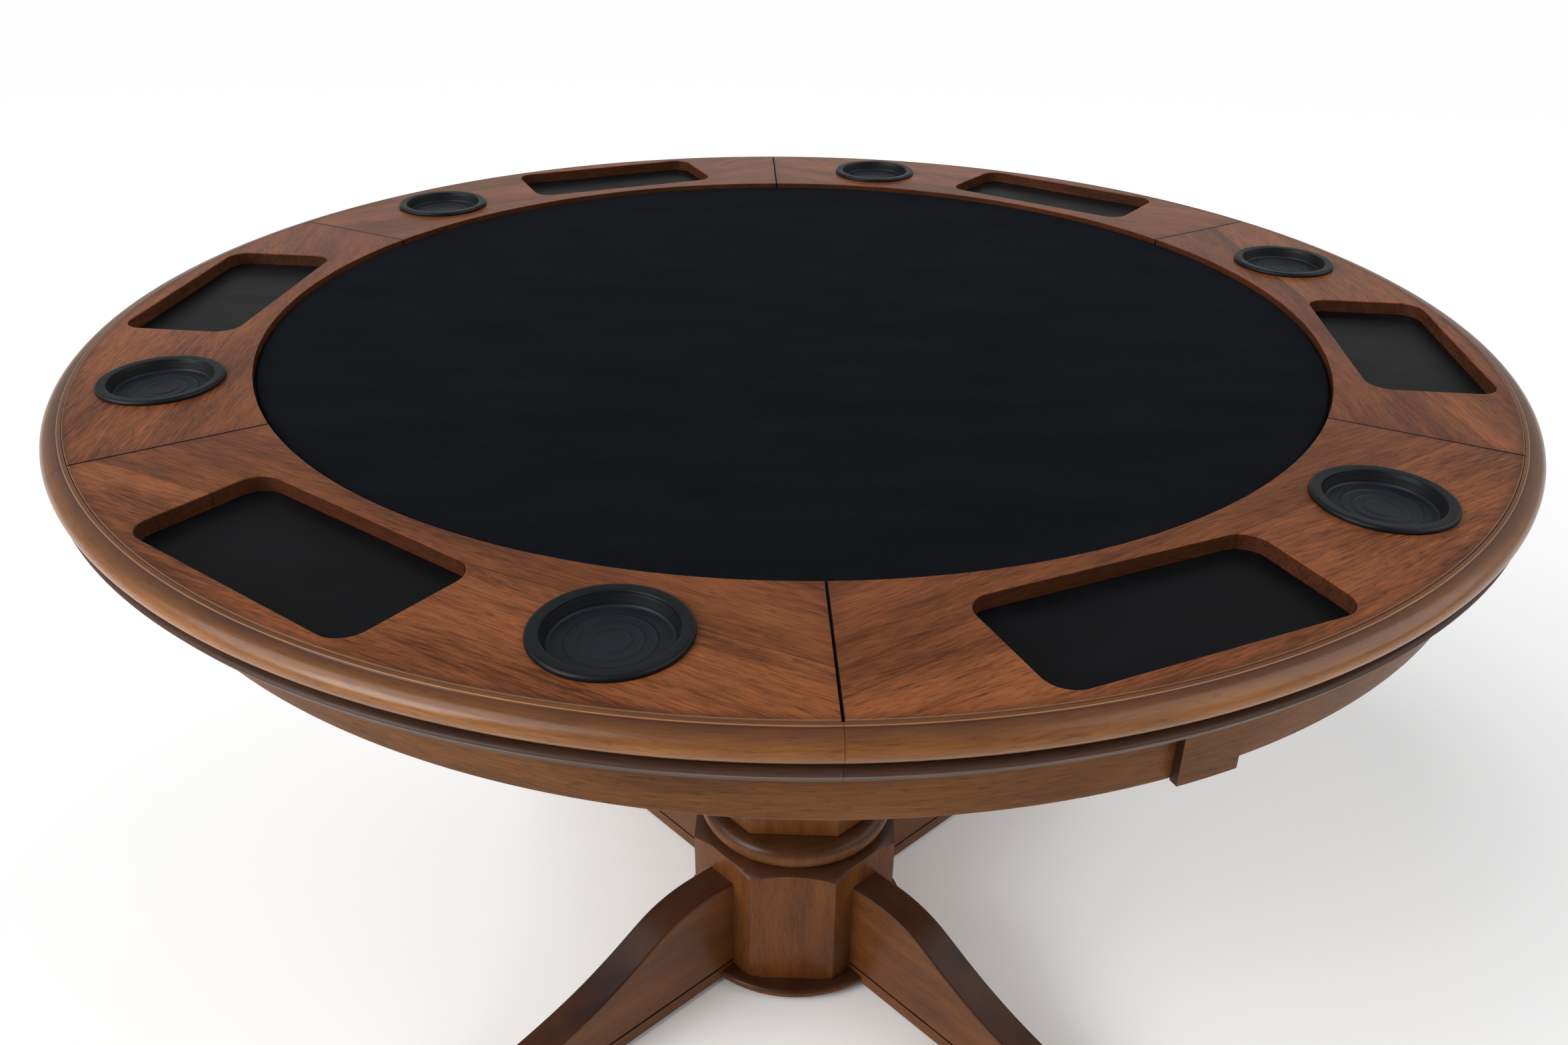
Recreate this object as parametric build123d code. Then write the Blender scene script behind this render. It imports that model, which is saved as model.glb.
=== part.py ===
"""Round six-player gaming table: a lift-off playing top on a four-legged pedestal base.

Millimetres, +Z up. The origin is on the floor, under the middle of the playing top.
The legs point along the diagonals of X and Y. The loose top lies on its base turned by TOP_TURN,
and the base stands BASE_SHIFT along X from the middle of the top.
"""
import math
import os

from build123d import *

# ---------------------------------------------------------------- overall sizes
TABLE_DIAMETER = 1320.0
TABLE_HEIGHT = 803.0
TOP_TURN = 4.0                  # how far the loose top is turned on its base, degrees
BASE_SHIFT = 12.0               # how far the base stands off the middle of the loose top, along X
PLAYERS = 6
SECTOR = 360.0 / PLAYERS

# ---------------------------------------------------------------- clearances
MOVING_GAP = 0.4                # round a piece that lifts out
FIXED_GAP = 0.15                # round a piece that is glued, pinned or screwed in

# ---------------------------------------------------------------- rail and edge moulding
RAIL_WIDTH = 145.5
RAIL_THICKNESS = 13.0
SEAM_HALF_WIDTH = 1.0
SEAM_DEPTH = 1.4
EDGE_WIDTH = 18.0
EDGE_HEIGHT = 22.0
EDGE_SHELF_WIDTH = 6.0
EDGE_SHELF_DROP = 0.6
EDGE_STEP_DROP = 2.2
EDGE_UNDERCUT = 8.0             # how far the round nose pulls in at its lower edge
TRAY_LENGTH = 233.0
TRAY_WIDTH = 110.5
TRAY_CORNER = 20.0
TRAY_EDGE_ROUND = 1.0
TRAY_ANGLE = 21.9               # middle of a tray, measured from the seam before it
LINER_THICKNESS = 1.0
CUP_ANGLE = 46.4                # middle of a cup holder, measured from the same seam

# ---------------------------------------------------------------- cup holders
CUP_BODY_RADIUS = 46.0
CUP_FLANGE_RADIUS = 52.0
CUP_MOUTH_RADIUS = 42.8
CUP_FLOOR_RADIUS = 39.0
CUP_FLANGE_HEIGHT = 4.0
CUP_FLANGE_ROUND = 2.0
CUP_FLOOR_DEPTH = 6.0           # inner floor, below the rail
CUP_FLOOR_THICKNESS = 4.0

# ---------------------------------------------------------------- playing bed
DECK_THICKNESS = 9.0
BED_GAP = 1.2                   # between the cloth and the rail
BED_BOARD_THICKNESS = 5.0
FOAM_THICKNESS = 2.5
FELT_THICKNESS = 1.2
DECK_SCREW_RADIUS = 2.0
DECK_SCREW_HEAD_RADIUS = 4.0
DECK_SCREW_LENGTH = 16.0
DECK_SCREW_HEAD_HEIGHT = 2.4
DECK_SCREW_ANGLES = (2.5, 34.2, 57.5)

# ---------------------------------------------------------------- beaded ring under the top
SPACER_THICKNESS = 3.0
SPACER_WIDTH = 40.0
SPACER_INSET = 15.0             # from the table's edge
RING_PARTS = 4
RING_THICKNESS = 10.0
RING_WIDTH = 96.0
RING_INSET = 4.0                # the ring's nose, from the table's edge
RING_TOP_INSET = 9.0            # how far its top edge lies behind the nose
RING_ARRIS_INSET = 3.0          # how far its lower arris lies behind the nose
RING_NOSE_DROP = 3.6
RING_ARRIS_DROP = 6.8
RING_FACE_LEAN = 1.5            # how far its lower edge lies behind the arris
RING_SCREW_COUNT = 12
RING_SCREW_LENGTH = 18.0

# ---------------------------------------------------------------- apron
APRON_INSET = 43.5              # apron's outer face, from the table's edge
APRON_THICKNESS = 18.0
APRON_HEIGHT = 59.5
APRON_PARTS = 4
APRON_JOINT_ANGLE = -64.8
BLOCK_WIDTH = 47.0
BLOCK_PROUD = 7.0
BLOCK_DROP = 1.0                # below the apron
SPLICE_WIDTH = 90.0
SPLICE_THICKNESS = 20.0
SPLICE_LIFT = 6.0               # above the apron's lower edge
SPLICE_SCREW_ANGLE = 1.4        # to each side of the joint, degrees
SPLICE_SCREW_MARGINS = (16.0, 12.0)     # from the apron's lower and upper edge
FRAME_SCREW_RADIUS = 2.5
FRAME_SCREW_HEAD_RADIUS = 4.5
FRAME_SCREW_HEAD_HEIGHT = 3.0
FRAME_SCREW_LENGTH = 34.0

# ---------------------------------------------------------------- bearers and mounting plate
BEARER_WIDTH = 60.0
BEARER_HEIGHT = 45.0
PLATE_SIDE = 320.0
PLATE_THICKNESS = 20.0
PLATE_CORNER = 25.0
PLATE_SCREW_SPACING = 250.0
PLATE_SCREW_LENGTH = 50.0

# ---------------------------------------------------------------- pedestal
SHAFT_SIDE = 170.0
SHAFT_CHAMFER = 35.0
SHAFT_WALL = 26.0
NECK_RADIUS = 114.0
NECK_HEIGHT = 28.0
HUB_ACROSS_FLATS = 236.0
HUB_TOP = 182.0
HUB_COVE_RADIUS = 106.0
HUB_SHOULDER_DROP = 3.0         # from the hub's top to the middle of a face's upper edge
HUB_CORNER_DROP = 8.0           # from there to the corners
HUB_WALL = 58.0
HUB_CEILING = 34.0
DISC_RADIUS = 140.0
DISC_BOTTOM = 7.0
DISC_THICKNESS = 11.0
ROD_RADIUS = 8.0
ROD_STICK_OUT = 22.0
NUT_ACROSS_FLATS = 24.0
NUT_HEIGHT = 13.0
WASHER_RADIUS = 18.0
WASHER_THICKNESS = 3.0

# ---------------------------------------------------------------- legs
LEG_THICKNESS = 40.0
LEG_REACH = 492.0               # from the table's axis to the toe
LEG_CLEARANCE = 6.0             # under the leg: the height of a glide
LEG_KNEE = ((165.0, 147.0), (210.0, 138.0), (245.0, 121.0), (300.0, 95.0),
            (365.0, 74.0), (430.0, 60.0))       # (distance from the axis, height)
LEG_HUB_HEIGHT = 146.0
LEG_TOE_HEIGHT = 46.0
LEG_TOE_ROUND = 14.0
LEG_ARRIS_ROUND = 2.5
LEG_GROOVE_HEIGHT = 25.0        # groove, above the floor
LEG_GROOVE_WIDTH = 3.0
LEG_GROOVE_DEPTH = 2.0
GLIDE_RADIUS = 16.0
GLIDE_FROM_TOE = 40.0
GLIDE_SCREW_RADIUS = 2.0
GLIDE_SCREW_LENGTH = 20.0
LEG_BOLT_RADIUS = 4.0
LEG_BOLT_IN_LEG = 50.0
LEG_BOLT_STICK_OUT = 14.0
LEG_BOLT_HEIGHTS = (46.0, 112.0)
LEG_NUT_ACROSS_FLATS = 13.0
LEG_NUT_HEIGHT = 6.5
LEG_WASHER_RADIUS = 10.0
LEG_WASHER_THICKNESS = 1.6
DOWEL_RADIUS = 5.0
DOWEL_LENGTH = 60.0
DOWEL_HEIGHTS = (30.0, 79.0, 128.0)

# ---------------------------------------------------------------- heights that follow
TOP_Z = TABLE_HEIGHT
RAIL_LOW = TOP_Z - RAIL_THICKNESS
DECK_LOW = TOP_Z - EDGE_HEIGHT
RING_TOP = DECK_LOW - SPACER_THICKNESS
RING_LOW = RING_TOP - RING_THICKNESS
APRON_LOW = RING_LOW - APRON_HEIGHT
BEARER_LOW = RING_LOW - BEARER_HEIGHT
PLATE_LOW = BEARER_LOW - PLATE_THICKNESS
SHAFT_LOW = HUB_TOP + NECK_HEIGHT
HUB_LOW = DISC_BOTTOM + DISC_THICKNESS
HUB_CEILING_LOW = HUB_TOP - HUB_CEILING

# ---------------------------------------------------------------- radii that follow
EDGE_RADIUS = TABLE_DIAMETER / 2
RAIL_OUTER = EDGE_RADIUS - EDGE_WIDTH
RAIL_INNER = RAIL_OUTER - RAIL_WIDTH
RAIL_MIDDLE = (RAIL_INNER + RAIL_OUTER) / 2
BED_RADIUS = RAIL_INNER - BED_GAP
RING_NOSE = EDGE_RADIUS - RING_INSET
APRON_OUTER = EDGE_RADIUS - APRON_INSET
APRON_INNER = APRON_OUTER - APRON_THICKNESS
HUB_APOTHEM = HUB_ACROSS_FLATS / 2
HUB_BORE = HUB_APOTHEM - HUB_WALL
FIRST_SEAM = -90.0 + TOP_TURN

os.makedirs("parts", exist_ok=True)
PARTS = {}


def polar(radius, angle, z=0.0):
    """A point at a radius and an angle in degrees from the X axis."""
    turn = math.radians(angle)
    return (radius * math.cos(turn), radius * math.sin(turn), z)


def ring(inner, outer, low, high):
    """A flat ring or, with no inner radius, a disc."""
    body = Pos(0, 0, low) * Cylinder(outer, high - low, align=(Align.CENTER, Align.CENTER, Align.MIN))
    if inner > 0:
        body -= Pos(0, 0, low) * Cylinder(inner, high - low, align=(Align.CENTER, Align.CENTER, Align.MIN))
    return body


def rod(radius, length, where, direction=(0, 0, 1)):
    """A round bar that starts at a point and runs along a direction."""
    place = Plane(origin=where, z_dir=direction)
    return place * Cylinder(radius, length, align=(Align.CENTER, Align.CENTER, Align.MIN))


def hexagon(across_flats, height, where, direction=(0, 0, 1)):
    """A six-sided nut blank that starts at a point and runs along a direction."""
    place = Plane(origin=where, z_dir=direction)
    return extrude(place * RegularPolygon(across_flats / 2, 6, major_radius=False), height)


def turned(outline, start=0.0, arc=360.0):
    """A closed outline of (radius, height) points or edges, turned about the table's axis."""
    section = Plane.XZ * make_face(outline)
    return Rot(0, 0, start) * revolve(section, Axis.Z, arc)


def box_section(inner, outer, low, high):
    """A rectangular outline in radius and height."""
    return Polyline((inner, low), (outer, low), (outer, high), (inner, high), close=True)


def keep(name, shape):
    """Remember a finished piece under the name of its node."""
    PARTS[name] = shape


def keep_in_base(name, *shapes):
    """Remember the finished solids of one node of the base, moved to where the base stands."""
    moved = [Pos(BASE_SHIFT, 0, 0) * shape for shape in shapes]
    PARTS[name] = moved[0] if len(moved) == 1 else Compound(children=moved)


# ---------------------------------------------------------------- playing top
def seam_angle(sector):
    """Angle of the seam that starts a sector."""
    return FIRST_SEAM + sector * SECTOR


def seam_cutter(angle):
    """The V groove along one radial seam."""
    tip = Polyline((-SEAM_HALF_WIDTH, 0), (SEAM_HALF_WIDTH, 0), (0, -SEAM_DEPTH), close=True)
    face = Plane(origin=(RAIL_INNER - 5, 0, TOP_Z), x_dir=(0, 1, 0), z_dir=(1, 0, 0)) * make_face(tip)
    return Rot(0, 0, angle) * extrude(face, RAIL_WIDTH + 10)


def tray_place(sector):
    """Frame at the middle of a tray, with Y pointing away from the table's axis."""
    angle = seam_angle(sector) + TRAY_ANGLE
    return Pos(*polar(RAIL_MIDDLE, angle)) * Rot(0, 0, angle - 90)


def cup_point(sector, z=0.0):
    """Middle of a cup holder."""
    return polar(RAIL_MIDDLE, seam_angle(sector) + CUP_ANGLE, z)


def rail_segment(sector):
    """One sixth of the wooden rail, with its chip tray and the hole for its cup holder."""
    start = seam_angle(sector)
    body = turned(box_section(RAIL_INNER, RAIL_OUTER, RAIL_LOW, TOP_Z), start, SECTOR)
    outline = tray_place(sector) * RectangleRounded(TRAY_LENGTH, TRAY_WIDTH, TRAY_CORNER)
    body -= extrude(Pos(0, 0, RAIL_LOW) * outline, RAIL_THICKNESS)
    rim = [edge for edge in body.edges().group_by(Axis.Z)[-1]
           if abs(math.hypot(edge.center().X, edge.center().Y) - RAIL_MIDDLE) < TRAY_WIDTH / 2 + 5
           and Vector(*polar(RAIL_MIDDLE, start + TRAY_ANGLE, TOP_Z)).sub(edge.center()).length
           < TRAY_LENGTH / 2 + 5]
    body = fillet(rim, TRAY_EDGE_ROUND)
    body -= Pos(*cup_point(sector, RAIL_LOW)) * Cylinder(
        CUP_BODY_RADIUS + MOVING_GAP, RAIL_THICKNESS, align=(Align.CENTER, Align.CENTER, Align.MIN))
    return body - seam_cutter(start) - seam_cutter(start + SECTOR)


def edge_moulding(sector):
    """One sixth of the round-nosed edge: a flat shelf, a small step, then the nose."""
    shelf = RAIL_OUTER + EDGE_SHELF_WIDTH
    nose_top = TOP_Z - EDGE_STEP_DROP
    foot = EDGE_RADIUS - EDGE_UNDERCUT
    nose_middle = (nose_top + DECK_LOW) / 2
    inner = RAIL_OUTER
    outline = Polyline((inner, DECK_LOW), (inner, TOP_Z - EDGE_SHELF_DROP),
                       (shelf, TOP_Z - EDGE_SHELF_DROP), (shelf + 0.6, nose_top), (shelf + 1.2, nose_top))
    nose = ThreePointArc((shelf + 1.2, nose_top), (EDGE_RADIUS, nose_middle), (foot, DECK_LOW))
    under = Line((foot, DECK_LOW), (inner, DECK_LOW))
    return turned(outline.edges() + nose.edges() + under.edges(), seam_angle(sector), SECTOR)


def tray_liner(sector):
    """The thin black pad on the floor of a tray."""
    inset = 2 * FIXED_GAP
    sheet = RectangleRounded(TRAY_LENGTH - inset, TRAY_WIDTH - inset, TRAY_CORNER - FIXED_GAP)
    return extrude(Pos(0, 0, RAIL_LOW) * tray_place(sector) * sheet, LINER_THICKNESS)


def deck_screw_points():
    """Where screws come up through the deck into the rail."""
    return [polar(RAIL_MIDDLE + side * RAIL_WIDTH * 0.43, seam_angle(sector) + angle, DECK_LOW)
            for sector in range(PLAYERS) for angle in DECK_SCREW_ANGLES for side in (-1, 1)]


def screw(where, direction, length, radius, head_radius, head_height):
    """A countersunk wood screw, head first, with its head flush at the point."""
    place = Plane(origin=where, z_dir=direction)
    outline = Polyline((0, 0), (head_radius, 0), (radius, head_height), (radius, length - 2 * radius),
                       (0, length), close=True)
    return place * revolve(Plane.XZ * make_face(outline), Axis.Z)


def deck_screw(point):
    """One screw of the deck."""
    return screw(point, (0, 0, 1), DECK_SCREW_LENGTH, DECK_SCREW_RADIUS, DECK_SCREW_HEAD_RADIUS,
                 DECK_SCREW_HEAD_HEIGHT)


def ring_screws():
    """Screws up through the ring and the spacer into the deck."""
    radius = EDGE_RADIUS - SPACER_INSET - SPACER_WIDTH / 2
    turn = 360.0 / RING_SCREW_COUNT
    return [screw(polar(radius, FIRST_SEAM + turn * (index + 0.5), RING_LOW), (0, 0, 1), RING_SCREW_LENGTH,
                  DECK_SCREW_RADIUS, DECK_SCREW_HEAD_RADIUS, DECK_SCREW_HEAD_HEIGHT)
            for index in range(RING_SCREW_COUNT)]


def under_ring(index):
    """A quarter of the beaded ring under the top. Its first joint lies under the first seam."""
    top_edge = RING_NOSE - RING_TOP_INSET
    arris = RING_NOSE - RING_ARRIS_INSET
    inner = RING_NOSE - RING_WIDTH
    sides = Polyline((arris, RING_TOP - RING_ARRIS_DROP), (arris - RING_FACE_LEAN, RING_LOW), (inner, RING_LOW),
                     (inner, RING_TOP), (top_edge, RING_TOP))
    bead = EllipticalCenterArc((top_edge, RING_TOP - RING_NOSE_DROP), RING_TOP_INSET, RING_NOSE_DROP,
                               start_angle=0, arc_size=90)
    lower = Line((RING_NOSE, RING_TOP - RING_NOSE_DROP), (arris, RING_TOP - RING_ARRIS_DROP))
    arc = 360.0 / RING_PARTS
    return turned(sides.edges() + bead.edges() + lower.edges(), FIRST_SEAM + index * arc, arc)


def playing_top():
    """Rail, edge, deck, padded bed, liners, the ring under them and the screws that hold them."""
    screws = Compound(children=[deck_screw(point) for point in deck_screw_points()] + ring_screws())
    for index in range(RING_PARTS):
        keep(f"under_ring_{index + 1}", under_ring(index) - screws)
    keep("ring_spacer", ring(EDGE_RADIUS - SPACER_INSET - SPACER_WIDTH, EDGE_RADIUS - SPACER_INSET,
                             RING_TOP, DECK_LOW) - screws)
    for sector in range(PLAYERS):
        keep(f"rail_segment_{sector + 1}", rail_segment(sector) - screws)
        keep(f"edge_moulding_{sector + 1}", edge_moulding(sector))
        keep(f"tray_liner_{sector + 1}", tray_liner(sector))
    keep("deck_board", ring(0, RAIL_OUTER, DECK_LOW, RAIL_LOW) - screws)
    keep("deck_screws", screws)
    board_top = RAIL_LOW + BED_BOARD_THICKNESS
    foam_top = board_top + FOAM_THICKNESS
    keep("bed_board", ring(0, BED_RADIUS, RAIL_LOW, board_top))
    keep("bed_foam", ring(0, BED_RADIUS, board_top, foam_top))
    felt = ring(0, BED_RADIUS, foam_top, foam_top + FELT_THICKNESS)
    keep("bed_felt", felt)


def cup_holder(sector):
    """A drop-in rubber cup holder: a raised round flange, a shallow well and a thick floor."""
    flange_top = TOP_Z + CUP_FLANGE_HEIGHT
    floor = TOP_Z - CUP_FLOOR_DEPTH
    low = floor - CUP_FLOOR_THICKNESS
    outline = Polyline((0, low), (CUP_BODY_RADIUS, low), (CUP_BODY_RADIUS, TOP_Z), (CUP_FLANGE_RADIUS, TOP_Z),
                       (CUP_FLANGE_RADIUS, flange_top), (CUP_MOUTH_RADIUS, flange_top),
                       (CUP_FLOOR_RADIUS, floor), (0, floor), close=True)
    body = revolve(Plane.XZ * make_face(outline), Axis.Z)
    rounded = body.edges().filter_by(GeomType.CIRCLE).group_by(Axis.Z)[-1]
    body = fillet(rounded, CUP_FLANGE_ROUND)
    return Pos(*cup_point(sector)) * body


# ---------------------------------------------------------------- apron
def apron_part(index):
    """A quarter of the curved apron."""
    arc = 360.0 / APRON_PARTS
    section = box_section(APRON_INNER, APRON_OUTER, APRON_LOW, RING_LOW)
    return turned(section, APRON_JOINT_ANGLE + index * arc, arc)


def block_box(width, inner, outer, low, high, angle):
    """A straight-sided block with curved faces, centred on an angle."""
    body = ring(inner, outer, low, high)
    slab = Pos((inner + outer) / 2, 0, (low + high) / 2) * Box(2 * (outer - inner), width, high - low)
    return Rot(0, 0, angle) * (body & slab)


def joint_block(index):
    """The proud block that covers a joint of the apron."""
    angle = APRON_JOINT_ANGLE + index * 360.0 / APRON_PARTS
    low = APRON_LOW - BLOCK_DROP
    return block_box(BLOCK_WIDTH, APRON_OUTER, APRON_OUTER + BLOCK_PROUD, low, RING_LOW, angle)


def splice_block(index):
    """The hidden block glued and screwed behind a joint of the apron."""
    angle = APRON_JOINT_ANGLE + index * 360.0 / APRON_PARTS
    low = APRON_LOW + SPLICE_LIFT
    return block_box(SPLICE_WIDTH, APRON_INNER - SPLICE_THICKNESS, APRON_INNER, low, RING_LOW, angle)


def splice_screws():
    """Screws from inside, through the splice blocks into the apron and its joint blocks."""
    made = []
    low, high = SPLICE_SCREW_MARGINS
    for index in range(APRON_PARTS):
        joint = APRON_JOINT_ANGLE + index * 360.0 / APRON_PARTS
        for angle in (joint - SPLICE_SCREW_ANGLE, joint + SPLICE_SCREW_ANGLE):
            for height in (APRON_LOW + low, RING_LOW - high):
                start = polar(APRON_INNER - SPLICE_THICKNESS + 0.5, angle, height)
                made.append(screw(start, polar(1, angle), FRAME_SCREW_LENGTH, FRAME_SCREW_RADIUS,
                                  FRAME_SCREW_HEAD_RADIUS, FRAME_SCREW_HEAD_HEIGHT))
    return made


def base_frame(screws):
    """The apron with its joint blocks and splice blocks."""
    for index in range(APRON_PARTS):
        number = index + 1
        keep_in_base(f"apron_{number}", apron_part(index) - screws)
        keep_in_base(f"joint_block_{number}", joint_block(index) - screws)
    keep_in_base("splice_blocks", *[splice_block(index) - screws for index in range(APRON_PARTS)])


def bearer(angle, upper_lap):
    """A bearer across the apron, halved where it crosses the other one."""
    middle = (BEARER_LOW + RING_LOW) / 2
    body = Pos(0, 0, middle) * Box(2 * EDGE_RADIUS, BEARER_WIDTH, BEARER_HEIGHT)
    body &= ring(0, APRON_INNER - FIXED_GAP, BEARER_LOW, RING_LOW)
    lap = BEARER_WIDTH + 2 * FIXED_GAP
    shift = BEARER_HEIGHT / 4 if upper_lap else -BEARER_HEIGHT / 4
    body -= Pos(0, 0, middle + shift) * Box(lap, BEARER_WIDTH, BEARER_HEIGHT / 2)
    body -= rod(WASHER_RADIUS + 4, ROD_STICK_OUT + 6, (0, 0, BEARER_LOW))
    return Rot(0, 0, angle) * body


def plate_screws():
    """Screws up through the mounting plate into the bearers."""
    reach = PLATE_SCREW_SPACING / 2
    spots = [(reach, 0), (-reach, 0), (0, reach), (0, -reach)]
    return [screw((x, y, PLATE_LOW), (0, 0, 1), PLATE_SCREW_LENGTH, FRAME_SCREW_RADIUS,
                  FRAME_SCREW_HEAD_RADIUS, FRAME_SCREW_HEAD_HEIGHT) for x, y in spots]


# ---------------------------------------------------------------- pedestal
def shaft():
    """The hollow column: square, with chamfered corners."""
    outside = chamfer(Rectangle(SHAFT_SIDE, SHAFT_SIDE).vertices(), SHAFT_CHAMFER)
    inside = offset(outside, -SHAFT_WALL)
    return extrude(Pos(0, 0, SHAFT_LOW) * (outside - inside), PLATE_LOW - SHAFT_LOW)


def neck_ring():
    """The turned ring between the column and the hub."""
    bulge = NECK_HEIGHT / 2
    flat = NECK_RADIUS - bulge
    sides = Polyline((flat, SHAFT_LOW), (ROD_RADIUS + 1, SHAFT_LOW), (ROD_RADIUS + 1, HUB_TOP), (flat, HUB_TOP))
    nose = ThreePointArc((flat, HUB_TOP), (NECK_RADIUS, HUB_TOP + bulge), (flat, SHAFT_LOW))
    return turned(sides.edges() + nose.edges())


def octagon(apothem, low, high):
    """An eight-sided prism with flats towards X, Y and the diagonals."""
    return extrude(Pos(0, 0, low) * Rot(0, 0, 22.5) * RegularPolygon(apothem, 8, major_radius=False), high - low)


def hub(bolts, dowels):
    """The octagonal block that carries the legs, turned to a cove at the top and a cone below."""
    corner = HUB_APOTHEM / math.cos(math.radians(22.5))
    shoulder = HUB_TOP - HUB_SHOULDER_DROP
    body = octagon(HUB_APOTHEM, HUB_LOW, HUB_TOP)
    reach = corner + 4
    slope = HUB_CORNER_DROP / (corner - HUB_APOTHEM)
    cove = Polyline((0, HUB_LOW - 3), (HUB_APOTHEM, HUB_LOW - 3), (reach, HUB_LOW + 5),
                    (reach, shoulder - slope * (reach - HUB_APOTHEM)), (HUB_APOTHEM, shoulder),
                    (HUB_COVE_RADIUS, HUB_TOP), (0, HUB_TOP), close=True)
    body &= turned(cove)
    body -= octagon(HUB_BORE, HUB_LOW, HUB_CEILING_LOW)
    body -= rod(ROD_RADIUS + 1, HUB_CEILING + 2, (0, 0, HUB_CEILING_LOW - 1))
    return body - bolts - dowels


def base_disc():
    """The turned bead under the hub, slotted round the legs."""
    bulge = DISC_THICKNESS / 2
    flat = DISC_RADIUS - bulge
    sides = Polyline((flat, HUB_LOW), (0, HUB_LOW), (0, DISC_BOTTOM), (flat, DISC_BOTTOM))
    nose = ThreePointArc((flat, DISC_BOTTOM), (DISC_RADIUS, DISC_BOTTOM + bulge), (flat, HUB_LOW))
    disc = turned(sides.edges() + nose.edges())
    reach = DISC_RADIUS - HUB_APOTHEM + 1
    for index in range(4):
        slot = Pos(HUB_APOTHEM - FIXED_GAP + reach / 2, 0, HUB_LOW) * Box(
            reach, LEG_THICKNESS + 2 * FIXED_GAP, 3 * DISC_THICKNESS)
        disc -= Rot(0, 0, leg_angle(index)) * slot
    return disc


def leg_blank():
    """One leg along +X: flat from the hub, falling in an S curve to its toe."""
    top = Spline((HUB_APOTHEM, LEG_HUB_HEIGHT), *LEG_KNEE, (LEG_REACH, LEG_TOE_HEIGHT), tangents=((1, 0.03), (1, -0.3)))
    rest = Polyline((LEG_REACH, LEG_TOE_HEIGHT), (LEG_REACH, LEG_CLEARANCE), (HUB_APOTHEM, LEG_CLEARANCE),
                    (HUB_APOTHEM, LEG_HUB_HEIGHT))
    side = Plane.XZ * make_face(top.edges() + rest.edges())
    body = extrude(side, LEG_THICKNESS / 2, both=True)
    toe = [edge for edge in body.edges().filter_by(Axis.Y) if edge.center().X > LEG_REACH - 1]
    body = fillet(toe, LEG_TOE_ROUND)
    arris = [edge for edge in body.edges()
             if abs(abs(edge.center().Y) - LEG_THICKNESS / 2) < 0.01 and edge.center().Z > LEG_TOE_HEIGHT
             and edge.center().X < LEG_REACH - 5 and edge.center().X > HUB_APOTHEM + 5]
    body = fillet(arris, LEG_ARRIS_ROUND)
    for side_sign in (-1, 1):
        groove = Pos(LEG_REACH / 2, side_sign * LEG_THICKNESS / 2, LEG_GROOVE_HEIGHT)
        body -= groove * Box(2 * LEG_REACH, 2 * LEG_GROOVE_DEPTH, LEG_GROOVE_WIDTH)
    return body


def leg_angle(index):
    """Direction of a leg, along a diagonal."""
    return 45.0 + 90.0 * index


def leg_bolt(index, height, extra=0.0):
    """A stud from the inside of the hub into a leg, or with extra, its hole."""
    angle = leg_angle(index)
    start = HUB_BORE - LEG_BOLT_STICK_OUT - extra
    length = HUB_WALL + LEG_BOLT_STICK_OUT + LEG_BOLT_IN_LEG + 2 * extra
    return rod(LEG_BOLT_RADIUS + extra, length, polar(start, angle, height), polar(1, angle))


def leg_dowel(index, height, extra=0.0):
    """A wooden dowel between the hub and a leg, or with extra, its hole."""
    angle = leg_angle(index)
    start = HUB_APOTHEM - DOWEL_LENGTH / 2 - extra
    return rod(DOWEL_RADIUS + extra, DOWEL_LENGTH + 2 * extra, polar(start, angle, height), polar(1, angle))


def leg_nut(index, height):
    """The washer and nut of one stud, against the flat inside of the hub."""
    angle = leg_angle(index)
    inward = polar(-1, angle)
    washer = rod(LEG_WASHER_RADIUS, LEG_WASHER_THICKNESS, polar(HUB_BORE, angle, height), inward)
    nut = hexagon(LEG_NUT_ACROSS_FLATS, LEG_NUT_HEIGHT, polar(HUB_BORE - LEG_WASHER_THICKNESS, angle, height), inward)
    return washer + nut - leg_bolt(index, height, FIXED_GAP)


def glide(index):
    """A nylon glide under a toe, with its screw."""
    where = polar(LEG_REACH - GLIDE_FROM_TOE, leg_angle(index))
    foot = rod(GLIDE_RADIUS, LEG_CLEARANCE, where)
    foot = chamfer(foot.edges().filter_by(GeomType.CIRCLE).group_by(Axis.Z)[0], 1.2)
    return foot + rod(GLIDE_SCREW_RADIUS, GLIDE_SCREW_LENGTH + LEG_CLEARANCE - 2, (where[0], where[1], 2))


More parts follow.
